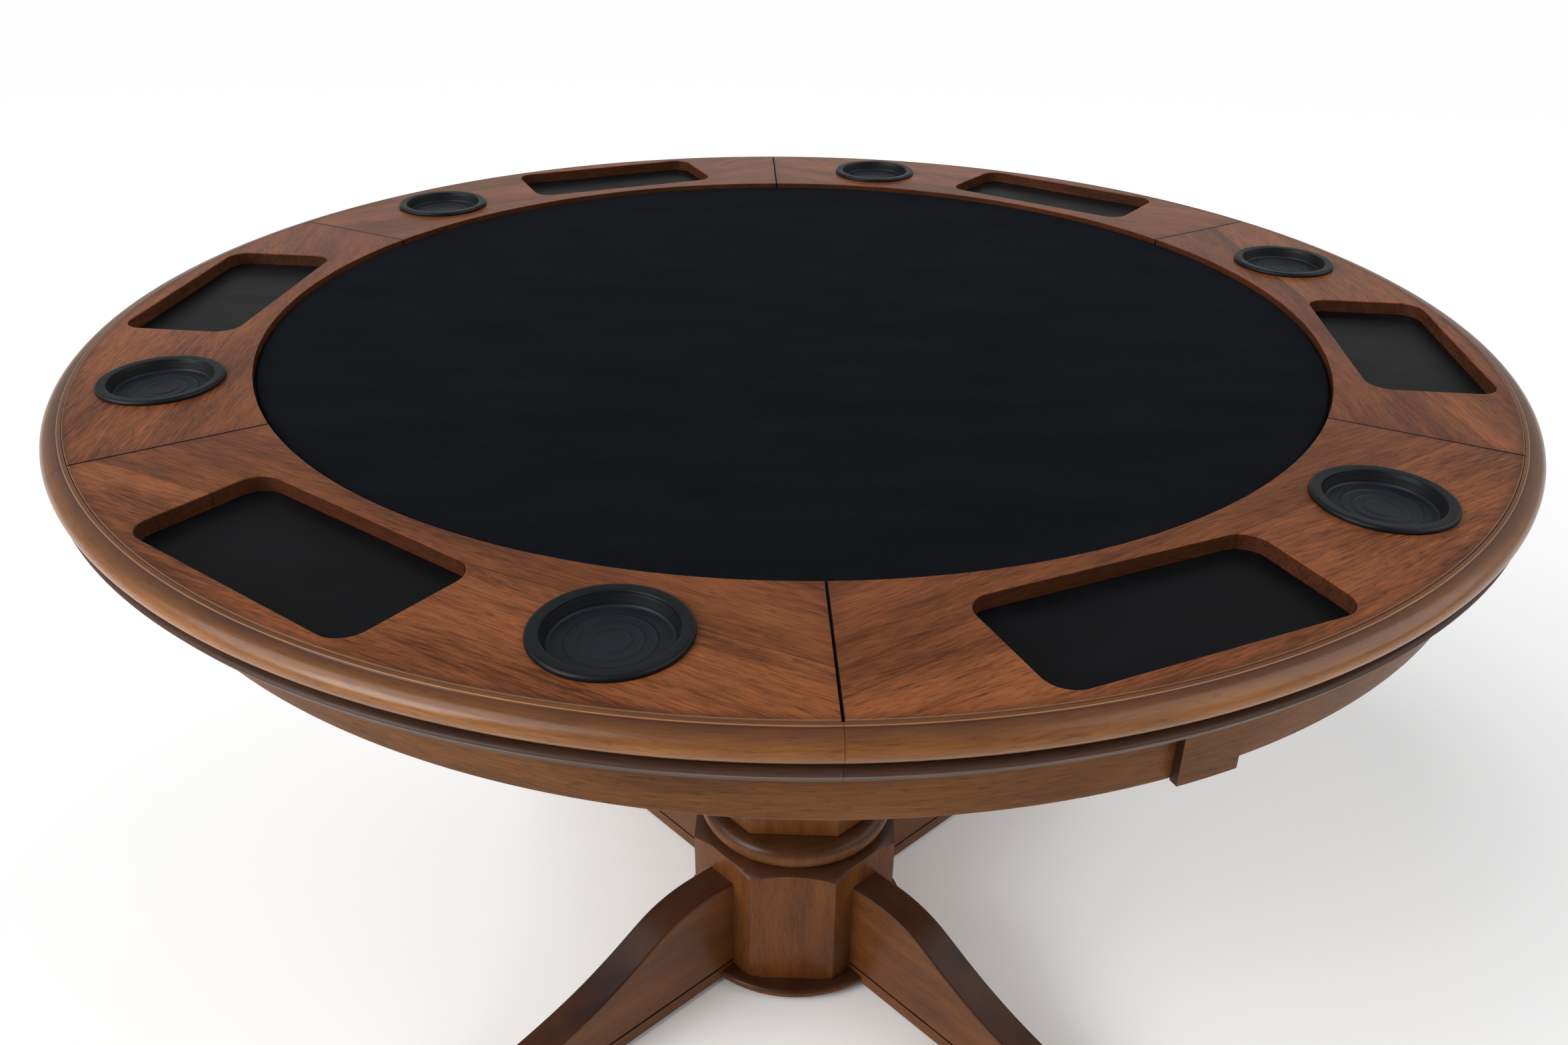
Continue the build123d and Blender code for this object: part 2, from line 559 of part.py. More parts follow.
def pedestal():
    """Column, neck ring, hub, disc, legs and everything that holds them together."""
    spots = [(index, height) for index in range(4) for height in LEG_BOLT_HEIGHTS]
    pins = [(index, height) for index in range(4) for height in DOWEL_HEIGHTS]
    bolt_holes = Compound(children=[leg_bolt(*spot, FIXED_GAP) for spot in spots])
    dowel_holes = Compound(children=[leg_dowel(*pin, FIXED_GAP) for pin in pins])
    glides = [glide(index) for index in range(4)]
    blank = leg_blank()
    for index in range(4):
        leg = Rot(0, 0, leg_angle(index)) * blank - glides[index]
        for height in LEG_BOLT_HEIGHTS:
            leg -= leg_bolt(index, height, FIXED_GAP)
        for height in DOWEL_HEIGHTS:
            leg -= leg_dowel(index, height, FIXED_GAP)
        keep_in_base(f"leg_{index + 1}", leg)
    keep_in_base("hub", hub(bolt_holes, dowel_holes))
    keep_in_base("leg_studs", *[leg_bolt(*spot) for spot in spots])
    keep_in_base("leg_dowels", *[leg_dowel(*pin) for pin in pins])
    keep_in_base("foot_glides", *glides)
    keep_in_base("column", shaft())
    keep_in_base("neck_ring", neck_ring())
    keep_in_base("base_disc", base_disc())
    upper_end = BEARER_LOW + ROD_STICK_OUT
    lower_end = HUB_CEILING_LOW - ROD_STICK_OUT
    tie = rod(ROD_RADIUS, upper_end - lower_end, (0, 0, lower_end))
    keep_in_base("tie_rod", tie)
    hole = rod(ROD_RADIUS + FIXED_GAP, upper_end - lower_end, (0, 0, lower_end))
    upper_nut = (rod(WASHER_RADIUS, WASHER_THICKNESS, (0, 0, BEARER_LOW))
                 + hexagon(NUT_ACROSS_FLATS, NUT_HEIGHT, (0, 0, BEARER_LOW + WASHER_THICKNESS)))
    lower_nut = (rod(WASHER_RADIUS, WASHER_THICKNESS, (0, 0, HUB_CEILING_LOW), (0, 0, -1))
                 + hexagon(NUT_ACROSS_FLATS, NUT_HEIGHT, (0, 0, HUB_CEILING_LOW - WASHER_THICKNESS), (0, 0, -1)))
    leg_nuts = [leg_nut(*spot) for spot in spots]
    keep_in_base("nuts_and_washers", *leg_nuts, upper_nut - hole, lower_nut - hole)


def mounting(screws):
    """The two bearers and the plate that the column hangs from."""
    corner = min(PLATE_CORNER, PLATE_SIDE / 2 - 1)
    plate = extrude(Pos(0, 0, PLATE_LOW) * RectangleRounded(PLATE_SIDE, PLATE_SIDE, corner), PLATE_THICKNESS)
    plate -= rod(ROD_RADIUS + 1, PLATE_THICKNESS, (0, 0, PLATE_LOW))
    keep_in_base("mounting_plate", plate - screws)
    keep_in_base("bearer_lower", bearer(0, True) - screws)
    keep_in_base("bearer_upper", bearer(90, False) - screws)


playing_top()
for number in range(PLAYERS):
    keep(f"cup_holder_{number + 1}", cup_holder(number))
splice_set = Compound(children=splice_screws())
plate_set = Compound(children=plate_screws())
base_frame(splice_set)
mounting(plate_set)
keep_in_base("frame_screws", *splice_screws(), *plate_screws())
pedestal()

for name, shape in PARTS.items():
    export_step(shape, f"parts/{name}.step")
print(len(PARTS), "nodes")
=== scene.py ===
# %% [markdown]
# # A round gaming table
# The table is a wooden rail round a black playing cloth, on an apron and a four-legged pedestal. Its
# sizes, joints and moving bodies come from the packed frame, which is loaded first and never moved.
# This script adds the looks: turned and moulded surfaces worked out with numpy, and finishes of wood,
# cloth and rubber.

# %% Load the frame
import math

import bmesh
import bpy
import numpy as np
from mathutils import Matrix, Vector


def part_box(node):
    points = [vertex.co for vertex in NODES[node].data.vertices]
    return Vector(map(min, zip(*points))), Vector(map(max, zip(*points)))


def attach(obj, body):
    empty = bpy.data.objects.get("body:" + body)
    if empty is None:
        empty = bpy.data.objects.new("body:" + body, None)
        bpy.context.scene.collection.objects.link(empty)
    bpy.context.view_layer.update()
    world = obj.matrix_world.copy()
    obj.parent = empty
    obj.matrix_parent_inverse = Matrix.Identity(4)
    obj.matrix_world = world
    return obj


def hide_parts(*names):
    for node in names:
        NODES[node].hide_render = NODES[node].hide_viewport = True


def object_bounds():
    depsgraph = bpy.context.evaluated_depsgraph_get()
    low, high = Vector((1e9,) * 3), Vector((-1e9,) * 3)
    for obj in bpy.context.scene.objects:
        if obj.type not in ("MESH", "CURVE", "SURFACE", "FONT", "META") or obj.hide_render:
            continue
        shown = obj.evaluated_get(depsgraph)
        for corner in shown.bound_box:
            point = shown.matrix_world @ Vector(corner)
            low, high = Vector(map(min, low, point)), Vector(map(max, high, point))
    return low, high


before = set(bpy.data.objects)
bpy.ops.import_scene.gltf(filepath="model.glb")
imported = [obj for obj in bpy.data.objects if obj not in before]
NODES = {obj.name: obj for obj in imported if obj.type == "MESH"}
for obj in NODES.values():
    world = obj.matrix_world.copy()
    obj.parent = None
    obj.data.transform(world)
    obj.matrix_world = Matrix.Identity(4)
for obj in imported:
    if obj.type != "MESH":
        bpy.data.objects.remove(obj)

cad_low, cad_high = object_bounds()
MM = 0.001

# %% [markdown]
# ## Where things are
# Most places are read from the frame, so a change in the model carries over; the angles from a seam to
# the cup holder and to the tray are given. Radii come from round nodes, and the turn of the loose top
# comes from the middle of its first cup holder.

# %% Measures taken from the frame
def node_top(name):
    """Height of a node's highest point."""
    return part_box(name)[1].z


def node_low(name):
    """Height of a node's lowest point."""
    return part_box(name)[0].z


def node_radius(name):
    """Half of a round node's width."""
    low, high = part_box(name)
    return max(high.x - low.x, high.y - low.y) / 2


def node_middle(name):
    """Middle of a node's box."""
    low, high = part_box(name)
    return (low + high) / 2


def joined_radius(prefix):
    """Half the width of the box round all nodes whose names start the same way."""
    boxes = [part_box(name) for name in NODES if name.startswith(prefix)]
    return (max(high.x for _, high in boxes) - min(low.x for low, _ in boxes)) / 2


def angle_of(name, centre):
    """Angle of a node's middle seen from a centre, in degrees."""
    middle = node_middle(name)
    return math.degrees(math.atan2(middle.y - centre.y, middle.x - centre.x))


SECTORS = sum(1 for name in NODES if name.startswith("rail_segment"))
QUARTERS = sum(1 for name in NODES if name.startswith("apron_"))
LEGS = sum(1 for name in NODES if name.startswith("leg_") and name[4:].isdigit())
SECTOR = 360.0 / SECTORS
QUARTER = 360.0 / QUARTERS
CUP_FROM_SEAM = 46.4            # degrees from a sector's first seam to its cup holder
TRAY_FROM_SEAM = 21.9           # and to the middle of its tray
first_cup = node_middle("cup_holder_1")
FIRST_SEAM = angle_of("cup_holder_1", Vector((0, 0, 0))) - CUP_FROM_SEAM
BASE_AXIS = node_middle("neck_ring")
TOP = node_top("rail_segment_1")
DECK = node_low("rail_segment_1")
UNDER = node_low("deck_board")
EDGE = (cad_high.x - cad_low.x) / 2
RAIL_OUT = node_radius("deck_board")
BED = node_radius("bed_felt")
RAIL_MIDDLE = math.hypot(first_cup.x, first_cup.y)
print(f"top {TOP:.4f} m, edge radius {EDGE:.4f} m, first seam at {FIRST_SEAM:.2f} degrees")

# %% [markdown]
# ## The camera
# It stands at the front, a little above the table, and looks down on it. It is set before anything
# else so that every later choice can be judged from the same place.

# %% Camera
CAMERA_AWAY = 1.2170            # from the table's axis, along the floor
CAMERA_ABOVE = 0.4423           # above the rail
CAMERA_FROM_SEAM = -2.76        # degrees, from the front seam round to the camera
CAMERA_AIM = -0.2912            # degrees right of the table's axis
CAMERA_DOWN = 28.989            # degrees below the horizontal
CAMERA_ROLL = 0.7013            # degrees
LENS = 30.081                   # millimetres, for a frame SENSOR millimetres wide
SENSOR = 36.0


def turn_about_z(vector, angle):
    """The vector turned about Z by an angle in degrees."""
    return Matrix.Rotation(math.radians(angle), 3, "Z") @ Vector(vector)


def make_camera():
    """Look direction from aim and tilt, then the right and up directions turned about it by the roll."""
    aim, down, roll = (math.radians(a) for a in (CAMERA_AIM, CAMERA_DOWN, CAMERA_ROLL))
    ahead = Vector((math.sin(aim) * math.cos(down), math.cos(aim) * math.cos(down), -math.sin(down)))
    right = Vector((math.cos(aim), -math.sin(aim), 0))
    up = right.cross(ahead)
    c, s = math.cos(roll), math.sin(roll)
    right, up = right * c + up * s, up * c - right * s
    side = FIRST_SEAM + 90 + CAMERA_FROM_SEAM
    place = turn_about_z((0, -CAMERA_AWAY, TOP + CAMERA_ABOVE), side)
    axes = [turn_about_z(axis, side) for axis in (right, up, -ahead)]
    camera = bpy.data.objects.new("camera", bpy.data.cameras.new("camera"))
    matrix = Matrix(axes).transposed().to_4x4()
    matrix.translation = place
    camera.matrix_world = matrix
    camera.data.lens = LENS
    camera.data.sensor_width = SENSOR
    camera.data.sensor_fit = "HORIZONTAL"
    bpy.context.scene.collection.objects.link(camera)
    bpy.context.scene.camera = camera
    print("camera at", [round(v, 3) for v in place])


make_camera()

# %% [markdown]
# ## From arrays to meshes
# A surface is a grid of points: rows along one parameter and columns along the other. The faces
# between neighbouring points follow from the grid's shape alone, so no loop over vertices is needed.
# Every piece here has rows that close into rings.

# %% Surface helpers
SMOOTH_LIMIT = math.radians(38)


def ring_faces(rows, columns):
    """Four-sided faces from each row of points to the next; each row's last point joins its first."""
    r, c = (a.ravel() for a in np.meshgrid(np.arange(rows - 1), np.arange(columns), indexing="ij"))
    c2 = (c + 1) % columns
    this_row, next_row = r * columns, (r + 1) * columns
    return np.stack([this_row + c, next_row + c, next_row + c2, this_row + c2], axis=1)


print("3 rings of 4 points have", len(ring_faces(3, 4)), "faces between them")

# %% [markdown]
# ## Into Blender
# Points and faces go into a mesh in one call. A mark is a number stored at every point, such as how
# much stain was left there, and a UV map lets a pattern follow a curved piece. Afterwards doubles are
# merged, faces are turned outwards, and edges stay crisp only where the surface really folds.

# %% Mesh objects
def new_mesh_object(name, points, faces, uv=None, marks=None):
    """Put points and faces into a mesh; uv and marks hold a value for every point."""
    mesh = bpy.data.meshes.new(name)
    mesh.from_pydata(np.asarray(points, float).tolist(), [], [list(map(int, f)) for f in faces])
    for mark, values in (marks or {}).items():
        stored = mesh.attributes.new(mark, "FLOAT", "POINT")
        stored.data.foreach_set("value", np.asarray(values, np.float32).ravel())
    if uv is not None:
        corner = np.zeros(len(mesh.loops), int)
        mesh.loops.foreach_get("vertex_index", corner)
        layer = mesh.uv_layers.new(name="along")
        layer.data.foreach_set("uv", np.asarray(uv, float).reshape(-1, 2)[corner].ravel())
    made = bpy.data.objects.new(name, mesh)
    bpy.context.scene.collection.objects.link(made)
    return made


def face_outwards(piece):
    """Merge doubles, point every face outwards, and keep edges crisp past SMOOTH_LIMIT."""
    shape = bmesh.new()
    shape.from_mesh(piece.data)
    bmesh.ops.remove_doubles(shape, verts=shape.verts, dist=1e-6)
    bmesh.ops.recalc_face_normals(shape, faces=shape.faces)
    shape.to_mesh(piece.data)
    shape.free()
    piece.data.polygons.foreach_set("use_smooth", np.ones(len(piece.data.polygons), bool))
    piece.data.set_sharp_from_angle(angle=SMOOTH_LIMIT)
    return piece


print(f"edges stay crisp past {math.degrees(SMOOTH_LIMIT):.0f} degrees")

# %% [markdown]
# ## Outlines
# A profile is drawn the way a cutter is ground: straight runs joined by arcs. Each run leaves out its
# last point, because the next run starts there.

# %% Lines and arcs
def line(start, end, count):
    """Evenly spaced points from start to end, without the end."""
    t = np.linspace(0, 1, count, endpoint=False)[:, None]
    return (1 - t) * np.array(start, float) + t * np.array(end, float)


def arc(centre, radii, start, end, count):
    """Points on an ellipse, centre + radii times (cos, sin), between two angles, without the end."""
    a = np.radians(np.linspace(start, end, count, endpoint=False))
    return np.array(centre, float) + np.stack([np.cos(a) * radii[0], np.sin(a) * radii[1]], axis=1)


def lengths_along(outline):
    """Distance along a closed outline at each of its points."""
    step = np.linalg.norm(np.diff(outline, axis=0, append=outline[:1]), axis=1)
    return np.concatenate([[0], np.cumsum(step)[:-1]])


print("a quarter circle in 4 points:", arc((0, 0), (1, 1), 0, 90, 4).round(2).tolist())

# %% [markdown]
# ## Two ways to use an outline
# Mouldings are a closed outline carried round an arc, as a router follows a template. Cups, cloth and
# padding are turned: half a profile goes all the way round and closes in one point at each end of the
# axis.

# %% Swept and turned surfaces
def swept_arc(name, outline, start, end, steps, marks=None, centre=(0.0, 0.0)):
    """Carry a closed (radius, height) outline round an upright axis: x = r cos a, y = r sin a.
    UV runs along the arc at the outline's mean radius, and along the outline."""
    outline = np.asarray(outline, float)
    angle = np.radians(np.linspace(start, end, steps + 1))
    a, r = np.meshgrid(angle, outline[:, 0], indexing="ij")
    z = np.broadcast_to(outline[:, 1], r.shape)
    points = np.stack([centre[0] + r * np.cos(a), centre[1] + r * np.sin(a), z], axis=-1)
    uv = np.stack([a * outline[:, 0].mean(), np.broadcast_to(lengths_along(outline), a.shape)], axis=-1)
    rows, columns = a.shape
    faces = list(ring_faces(rows, columns))
    faces += [np.arange(columns), (rows - 1) * columns + np.arange(columns)[::-1]]
    spread = {mark: np.broadcast_to(values, a.shape) for mark, values in (marks or {}).items()}
    return face_outwards(new_mesh_object(name, points.reshape(-1, 3), faces, uv.reshape(-1, 2), spread))


def turned_piece(name, profile, steps, centre=(0, 0)):
    """Turn a (radius, height) profile that starts and ends on the axis; each end closes in one point."""
    profile = np.asarray(profile, float)
    ring_part = profile[1:-1]
    angle = np.linspace(0, 2 * np.pi, steps, endpoint=False)
    r, a = np.meshgrid(ring_part[:, 0], angle, indexing="ij")
    z = np.broadcast_to(ring_part[:, 1][:, None], r.shape)
    body = np.stack([centre[0] + r * np.cos(a), centre[1] + r * np.sin(a), z], axis=-1)
    body = body.reshape(-1, 3)
    ends = [[centre[0], centre[1], profile[0, 1]], [centre[0], centre[1], profile[-1, 1]]]
    faces = list(ring_faces(len(ring_part), steps))
    first, last = len(body), len(body) + 1
    k = np.arange(steps)
    top_row = (len(ring_part) - 1) * steps
    faces += list(np.stack([np.full(steps, first), k, (k + 1) % steps], axis=1))
    faces += list(np.stack([np.full(steps, last), top_row + (k + 1) % steps, top_row + k], axis=1))
    return face_outwards(new_mesh_object(name, np.vstack([body, ends]), faces))


def finish_piece(piece, body, node):
    """Hang a piece on its CAD body and hide the CAD node that it stands for."""
    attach(piece, body)
    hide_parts(node)
    return piece


SECTOR_STEPS = 48               # straight steps in a sweep over one sector of the rail
QUARTER_STEPS = 72              # and over a quarter of the table
print(f"a step at the table's edge is {1000 * EDGE * math.radians(SECTOR / SECTOR_STEPS):.1f} mm long")

# %% [markdown]
# ## Shader maths as plain expressions
# A small class wraps a node's output, so that a mask can be written as `1 - noise * 0.5`. Chains of
# Math nodes could be wired by hand, but an expression can be read and changed.

# %% Values
class Value:
    """A number inside a material; arithmetic on it adds Math nodes."""

    def __init__(self, shade, socket):
        self.shade, self.socket = shade, socket

    def maths(self, operation, *others, clamp=False):
        """One Math node with this value first."""
        values = dict(enumerate((self,) + others))
        return self.shade.node("Math", {"operation": operation, "use_clamp": clamp}, values)

    def __add__(self, other):
        return self.maths("ADD", other)

    __radd__ = __add__

    def __mul__(self, other):
        return self.maths("MULTIPLY", other)

    __rmul__ = __mul__

    def __sub__(self, other):
        return self.maths("SUBTRACT", other)

    def __rsub__(self, other):
        return self.shade.node("Math", {"operation": "SUBTRACT"}, {0: other, 1: self})

    def above(self, low, high):
        """0 below low, 1 above high, and a smooth slope between."""
        return self.shade.node("MapRange", {"interpolation_type": "SMOOTHSTEP"},
                               {"Value": self, "From Min": low, "From Max": high})

    def clamped(self):
        """Kept between 0 and 1."""
        return self.maths("ADD", 0.0, clamp=True)


print("values know", ", ".join(name for name in vars(Value) if name.isalpha()))

# %% [markdown]
# ## One material at a time
# A finish is written from top to bottom: where on the surface, which noises, which colours, and what
# they feed. Numbers that are the same all over are set on the surface shader itself, and only what
# changes is linked.

# %% Finishes
class Shade:
    """One material while it is being written."""

    def __init__(self, name, **constants):
        self.material = bpy.data.materials.new(name)
        self.material.use_nodes = True
        self.tree = self.material.node_tree
        self.surface = self.tree.nodes["Principled BSDF"]
        for socket, value in constants.items():
            self.surface.inputs[socket.replace("_", " ")].default_value = value

    def node(self, kind, settings=None, sockets=None, output=0):
        """Add a node: its settings first, then a value or a link for each socket."""
        made = self.tree.nodes.new("ShaderNode" + kind)
        for key, value in (settings or {}).items():
            setattr(made, key, value)
        for key, value in (sockets or {}).items():
            self.feed(made.inputs[key], value)
        return Value(self, made.outputs[output])

    def feed(self, socket, value):
        """Link a wrapped value to a socket, or set a plain one on it."""
        if isinstance(value, Value):
            self.tree.links.new(value.socket, socket)
        elif hasattr(value, "__len__") and len(value) == 3 and socket.type == "RGBA":
            socket.default_value = (*value, 1.0)
        else:
            socket.default_value = value

    def set(self, **links):
        """Feed the surface shader's own sockets."""
        for socket, value in links.items():
            self.feed(self.surface.inputs[socket.replace("_", " ")], value)
        return self.material

    def place(self, source="Object", turn=(0, 0, 0), shift=(0, 0, 0)):
        """Coordinates of the surface, turned by angles in degrees and then moved by a Mapping node."""
        start = self.node("TexCoord", None, None, source)
        turned = tuple(math.radians(t) for t in turn)
        return self.node("Mapping", None, {"Vector": start, "Rotation": turned, "Location": shift})

    def axes(self, where):
        """The three parts of a vector as values."""
        split = self.node("SeparateXYZ", None, {0: where})
        return [Value(self, socket) for socket in split.socket.node.outputs]

    def stretched(self, where, scale):
        """Coordinates multiplied by a different scale along each axis."""
        return self.node("VectorMath", {"operation": "MULTIPLY"}, {0: where, 1: scale})

    def noise(self, where, scale=1.0, detail=2.0, rough=0.5):
        """A cloud of numbers round 0.5."""
        return self.node("TexNoise", None, {"Vector": where, "Scale": scale, "Detail": detail,
                                            "Roughness": rough})

    def mix(self, amount, first, second):
        """The first colour where amount is 0, the second where it is 1, and a blend between."""
        return self.node("Mix", {"data_type": "RGBA"}, {0: amount, 6: first, 7: second}, output=2)

    def bump(self, height, distance, strength=1.0):
        """Turn a height into a bumped normal."""
        return self.node("Bump", None, {"Height": height, "Distance": distance, "Strength": strength})


def dress(piece, material):
    """Give a piece one material."""
    piece.data.materials.clear()
    piece.data.materials.append(material)
    return piece


print("a finish is written with", ", ".join(name for name in vars(Shade) if name.isalpha()))

# %% [markdown]
# ## Wood
# The rail is veneered with a fine-pored reddish timber under a satin lacquer. Seen close, it has
# several scales: slow cloudy changes of tone, smoky patches, soft streaks a few millimetres wide,
# fine fibres and short dark pores. An image of wood could be laid on, but it would repeat and
# stretch. Here each scale is one noise drawn out along the grain, so one function makes every wood
# and only numbers change.

# %% Wood finish
BEND = (3.0, 9.0, 9.0)          # repeats in a metre, along the grain and then across it
CLOUD = (6.0, 30.0, 30.0)
SMOKE = (14.0, 55.0, 55.0)
STREAK = (9.0, 130.0, 130.0)
FIBRE = (42.0, 620.0, 620.0)
PORE = (90.0, 700.0, 700.0)
WANDER = 0.03                   # metres that the grain wanders sideways


def wood(name, light, deep, where, pores=0.5, streaks=0.5, clouds=0.5, fine=1.0, rough=0.3, coat=0.0,
         gloss=0.3, after=None):
    """Wood on coordinates whose X runs along the grain, in metres. Its tone is 0.5 plus each noise's
    distance from 0.5, weighted. after(shade, colour) may glaze it."""
    shade = Shade(name, Coat_Roughness=0.16, Specular_IOR_Level=gloss)
    at = where(shade)
    bent = shade.noise(shade.stretched(at, BEND), 1.0, 2.0)
    aside = shade.node("CombineXYZ", None, {0: 0.0, 1: bent, 2: bent})
    aside = shade.stretched(aside, (0.0, WANDER, WANDER))
    warp = shade.node("VectorMath", {"operation": "ADD"}, {0: at, 1: aside})
    cloud = shade.noise(shade.stretched(warp, CLOUD), 1.0, 3.0, 0.6)
    streak = shade.noise(shade.stretched(warp, STREAK), 1.0, 4.0, 0.65)
    fibre = shade.noise(shade.stretched(warp, FIBRE), 1.0, 2.0, 0.65)
    pore = shade.noise(shade.stretched(warp, PORE), 1.0, 1.0, 0.4)
    tone = (cloud - 0.5) * (4.4 * clouds) + (streak - 0.5) * (3.6 * streaks)
    tone = (tone + (fibre - 0.5) * (1.8 * fine) + 0.5).clamped()
    colour = shade.mix(tone, deep, light)
    smoke = shade.noise(shade.stretched(warp, SMOKE), 1.0, 3.0, 0.5).above(0.58, 0.76)
    colour = shade.mix(smoke * (0.5 * streaks), colour, tuple(c * 0.4 for c in deep))
    colour = shade.mix(pore.above(0.60, 0.70) * (0.8 * pores), colour, tuple(c * 0.3 for c in deep))
    if after:
        colour = after(shade, colour)
    height = fibre * 0.5 + (1 - pore.above(0.58, 0.72)) * 0.5
    return shade.set(Base_Color=colour, Roughness=(streak - 0.5) * 0.2 + rough, Coat_Weight=coat,
                     Normal=shade.bump(height, 0.1 * MM, 0.6))


def along_the_piece(shade):
    """The piece's own UV map, whose X follows its curve."""
    return shade.place("UV")


print(f"pores every {1000 / PORE[1]:.1f} mm across the grain and every {1000 / PORE[0]:.0f} mm along it")

# %% [markdown]
# ## The rail
# The six sectors of the rail are flat boards with cut-outs, so they keep their CAD shape. The grain
# runs along the chord of each sector, and a second board of slightly different tone meets it on a
# slant beside the seam. Glaze and painted shade darken the outer edge, painted shade darkens the
# walls of the trays and the wood beside the seams, and a painted highlight runs along the outer arris.

# %% Rail sectors
RAIL_LIGHT = (0.232, 0.073, 0.024)
RAIL_DEEP = (0.071, 0.0205, 0.0075)
# dark colour for glaze and dark joints, and for painted shade on edges, walls, seam sides, the apron top,
# block ends and up-facing faces
GLAZE_AND_SHADE = (0.020, 0.008, 0.006)
SEAM_LINE = (0.004, 0.003, 0.003)
# pale colour painted as the highlight on the arrises
ARRIS_HIGHLIGHT = (0.32, 0.17, 0.10)
SEAM_HALF = 0.9 * MM
BOARD_SLOPE = 0.52              # how far the board joint runs outwards for each step towards the seam
BOARD_AT_SEAM = 23.0 * MM       # where it meets the seam, outside the rail's middle line


def second_board(shade, sector):
    """1 on the board between the slanting joint and the next seam, 0 on the main board, and the distance
    from the joint. The joint is the line where along - slope * across has one value."""
    along, across, _ = shade.axes(shade.place(turn=(0, 0, -(FIRST_SEAM + SECTOR * (sector + 1)))))
    slant = along - across * BOARD_SLOPE - (RAIL_MIDDLE + BOARD_AT_SEAM)
    return 1 - slant.above(-0.2 * MM, 0.2 * MM), slant.maths("ABSOLUTE")


def rail_grain(sector):
    """Coordinates along the sector's chord; on the second board they jump, as they do on another piece."""
    middle = FIRST_SEAM + SECTOR * (sector + 0.5)

    def where(shade):
        at = shade.place(turn=(0, 0, -(middle + 90)), shift=(0.7 * sector, 0.31 * sector, 0.0))
        board, _ = second_board(shade, sector)
        jump = shade.node("CombineXYZ", None, {0: board, 1: board, 2: board})
        jump = shade.stretched(jump, (0.37, 0.23, 0.0))
        return shade.node("VectorMath", {"operation": "ADD"}, {0: at, 1: jump})
    return where


def rail_glaze_and_painted_light(sector):
    """Glaze and painted light on one sector: glaze with painted shade at the outer edge, painted shade on
    the walls of the pockets and beside the seams, dark lines in the seams and the joint, and a painted
    highlight on the outer arris."""
    def add(shade, colour):
        x, y, height = shade.axes(shade.place())
        radius = (x * x + y * y).maths("SQRT")
        blotch = shade.noise(shade.place(), 11.0, 3.0)
        # painted shade in the crease at the outer edge, broken up by a glaze-like blotch
        edge = radius.above(RAIL_OUT - 9 * MM, RAIL_OUT + 1 * MM) * (blotch * 0.9)
        # painted shade on the walls of the pockets and on every face below the rail's top
        wall_shade = (1 - height.above(TOP - 1.2 * MM, TOP - 0.2 * MM)) * 0.72
        colour = shade.mix((edge + wall_shade).clamped(), colour, GLAZE_AND_SHADE)
        board, from_joint = second_board(shade, sector)
        colour = shade.mix(board * 0.28, colour, RAIL_DEEP)
        colour = shade.mix((1 - from_joint.above(0.2 * MM, 1.0 * MM)) * 0.5, colour, GLAZE_AND_SHADE)
        _, after_seam, _ = shade.axes(shade.place(turn=(0, 0, -(FIRST_SEAM + SECTOR * sector))))
        _, before_seam, _ = shade.axes(shade.place(turn=(0, 0, -(FIRST_SEAM + SECTOR * (sector + 1)))))
        nearest = after_seam.maths("ABSOLUTE").maths("MINIMUM", before_seam.maths("ABSOLUTE"))
        # painted shade beside the seams
        seam_shade = (1 - nearest.above(0.0, 12 * MM)) * (blotch * 0.4)
        colour = shade.mix(seam_shade, colour, GLAZE_AND_SHADE)
        # a painted highlight along the outer arris
        painted_arris_line = radius.above(RAIL_OUT - 0.8 * MM, RAIL_OUT - 0.3 * MM)
        colour = shade.mix(painted_arris_line * 0.5, colour, ARRIS_HIGHLIGHT)
        in_seam = 1 - nearest.above(SEAM_HALF, SEAM_HALF + 0.4 * MM)
        return shade.mix(in_seam * 0.97, colour, SEAM_LINE)
    return add


for sector in range(SECTORS):
    look = wood(f"rail_wood_{sector + 1}", RAIL_LIGHT, RAIL_DEEP, rail_grain(sector), streaks=0.26,
                clouds=0.42, gloss=0.10, after=rail_glaze_and_painted_light(sector))
    dress(NODES[f"rail_segment_{sector + 1}"], look)
print("rail sectors dressed", SECTORS)

# %% [markdown]
# ## The round-nosed edge
# A router leaves a narrow shelf, two tiny steps and a round nose. A profile carried round an arc
# gives exact, smooth highlights, which a tessellated solid would break up. Glaze and painted shade are
# stored on the profile as a mark: 1 in the crease and the corners, falling over the upper nose to 0 on
# the lower nose, so the upper nose is painted darker, and below 0 on the arris, where a pale highlight
# is painted.

# %% Edge moulding
CREASE_DEPTH = 1.7 * MM         # the fine crease between the rail and the shelf
CREASE_FOOT = 0.5 * MM          # its width at the foot
CREASE_WIDTH = 0.7 * MM         # and at the top
SHELF = 3.0 * MM                # width of the shelf
SHELF_DROP = 0.7 * MM           # how far it lies below the rail
ARRIS = 0.4 * MM                # radius of the small round at its outer edge
STEP_RUN = 0.3 * MM             # slope of the step down to the nose
NOSE_DROP = 1.9 * MM            # how far the top of the nose lies below the rail
HAIR = 0.1 * MM                 # a slight fall, so that the shelf and the steps are never quite level
FLAT_SHARE = 0.17               # part of the nose's reach that is flat underneath


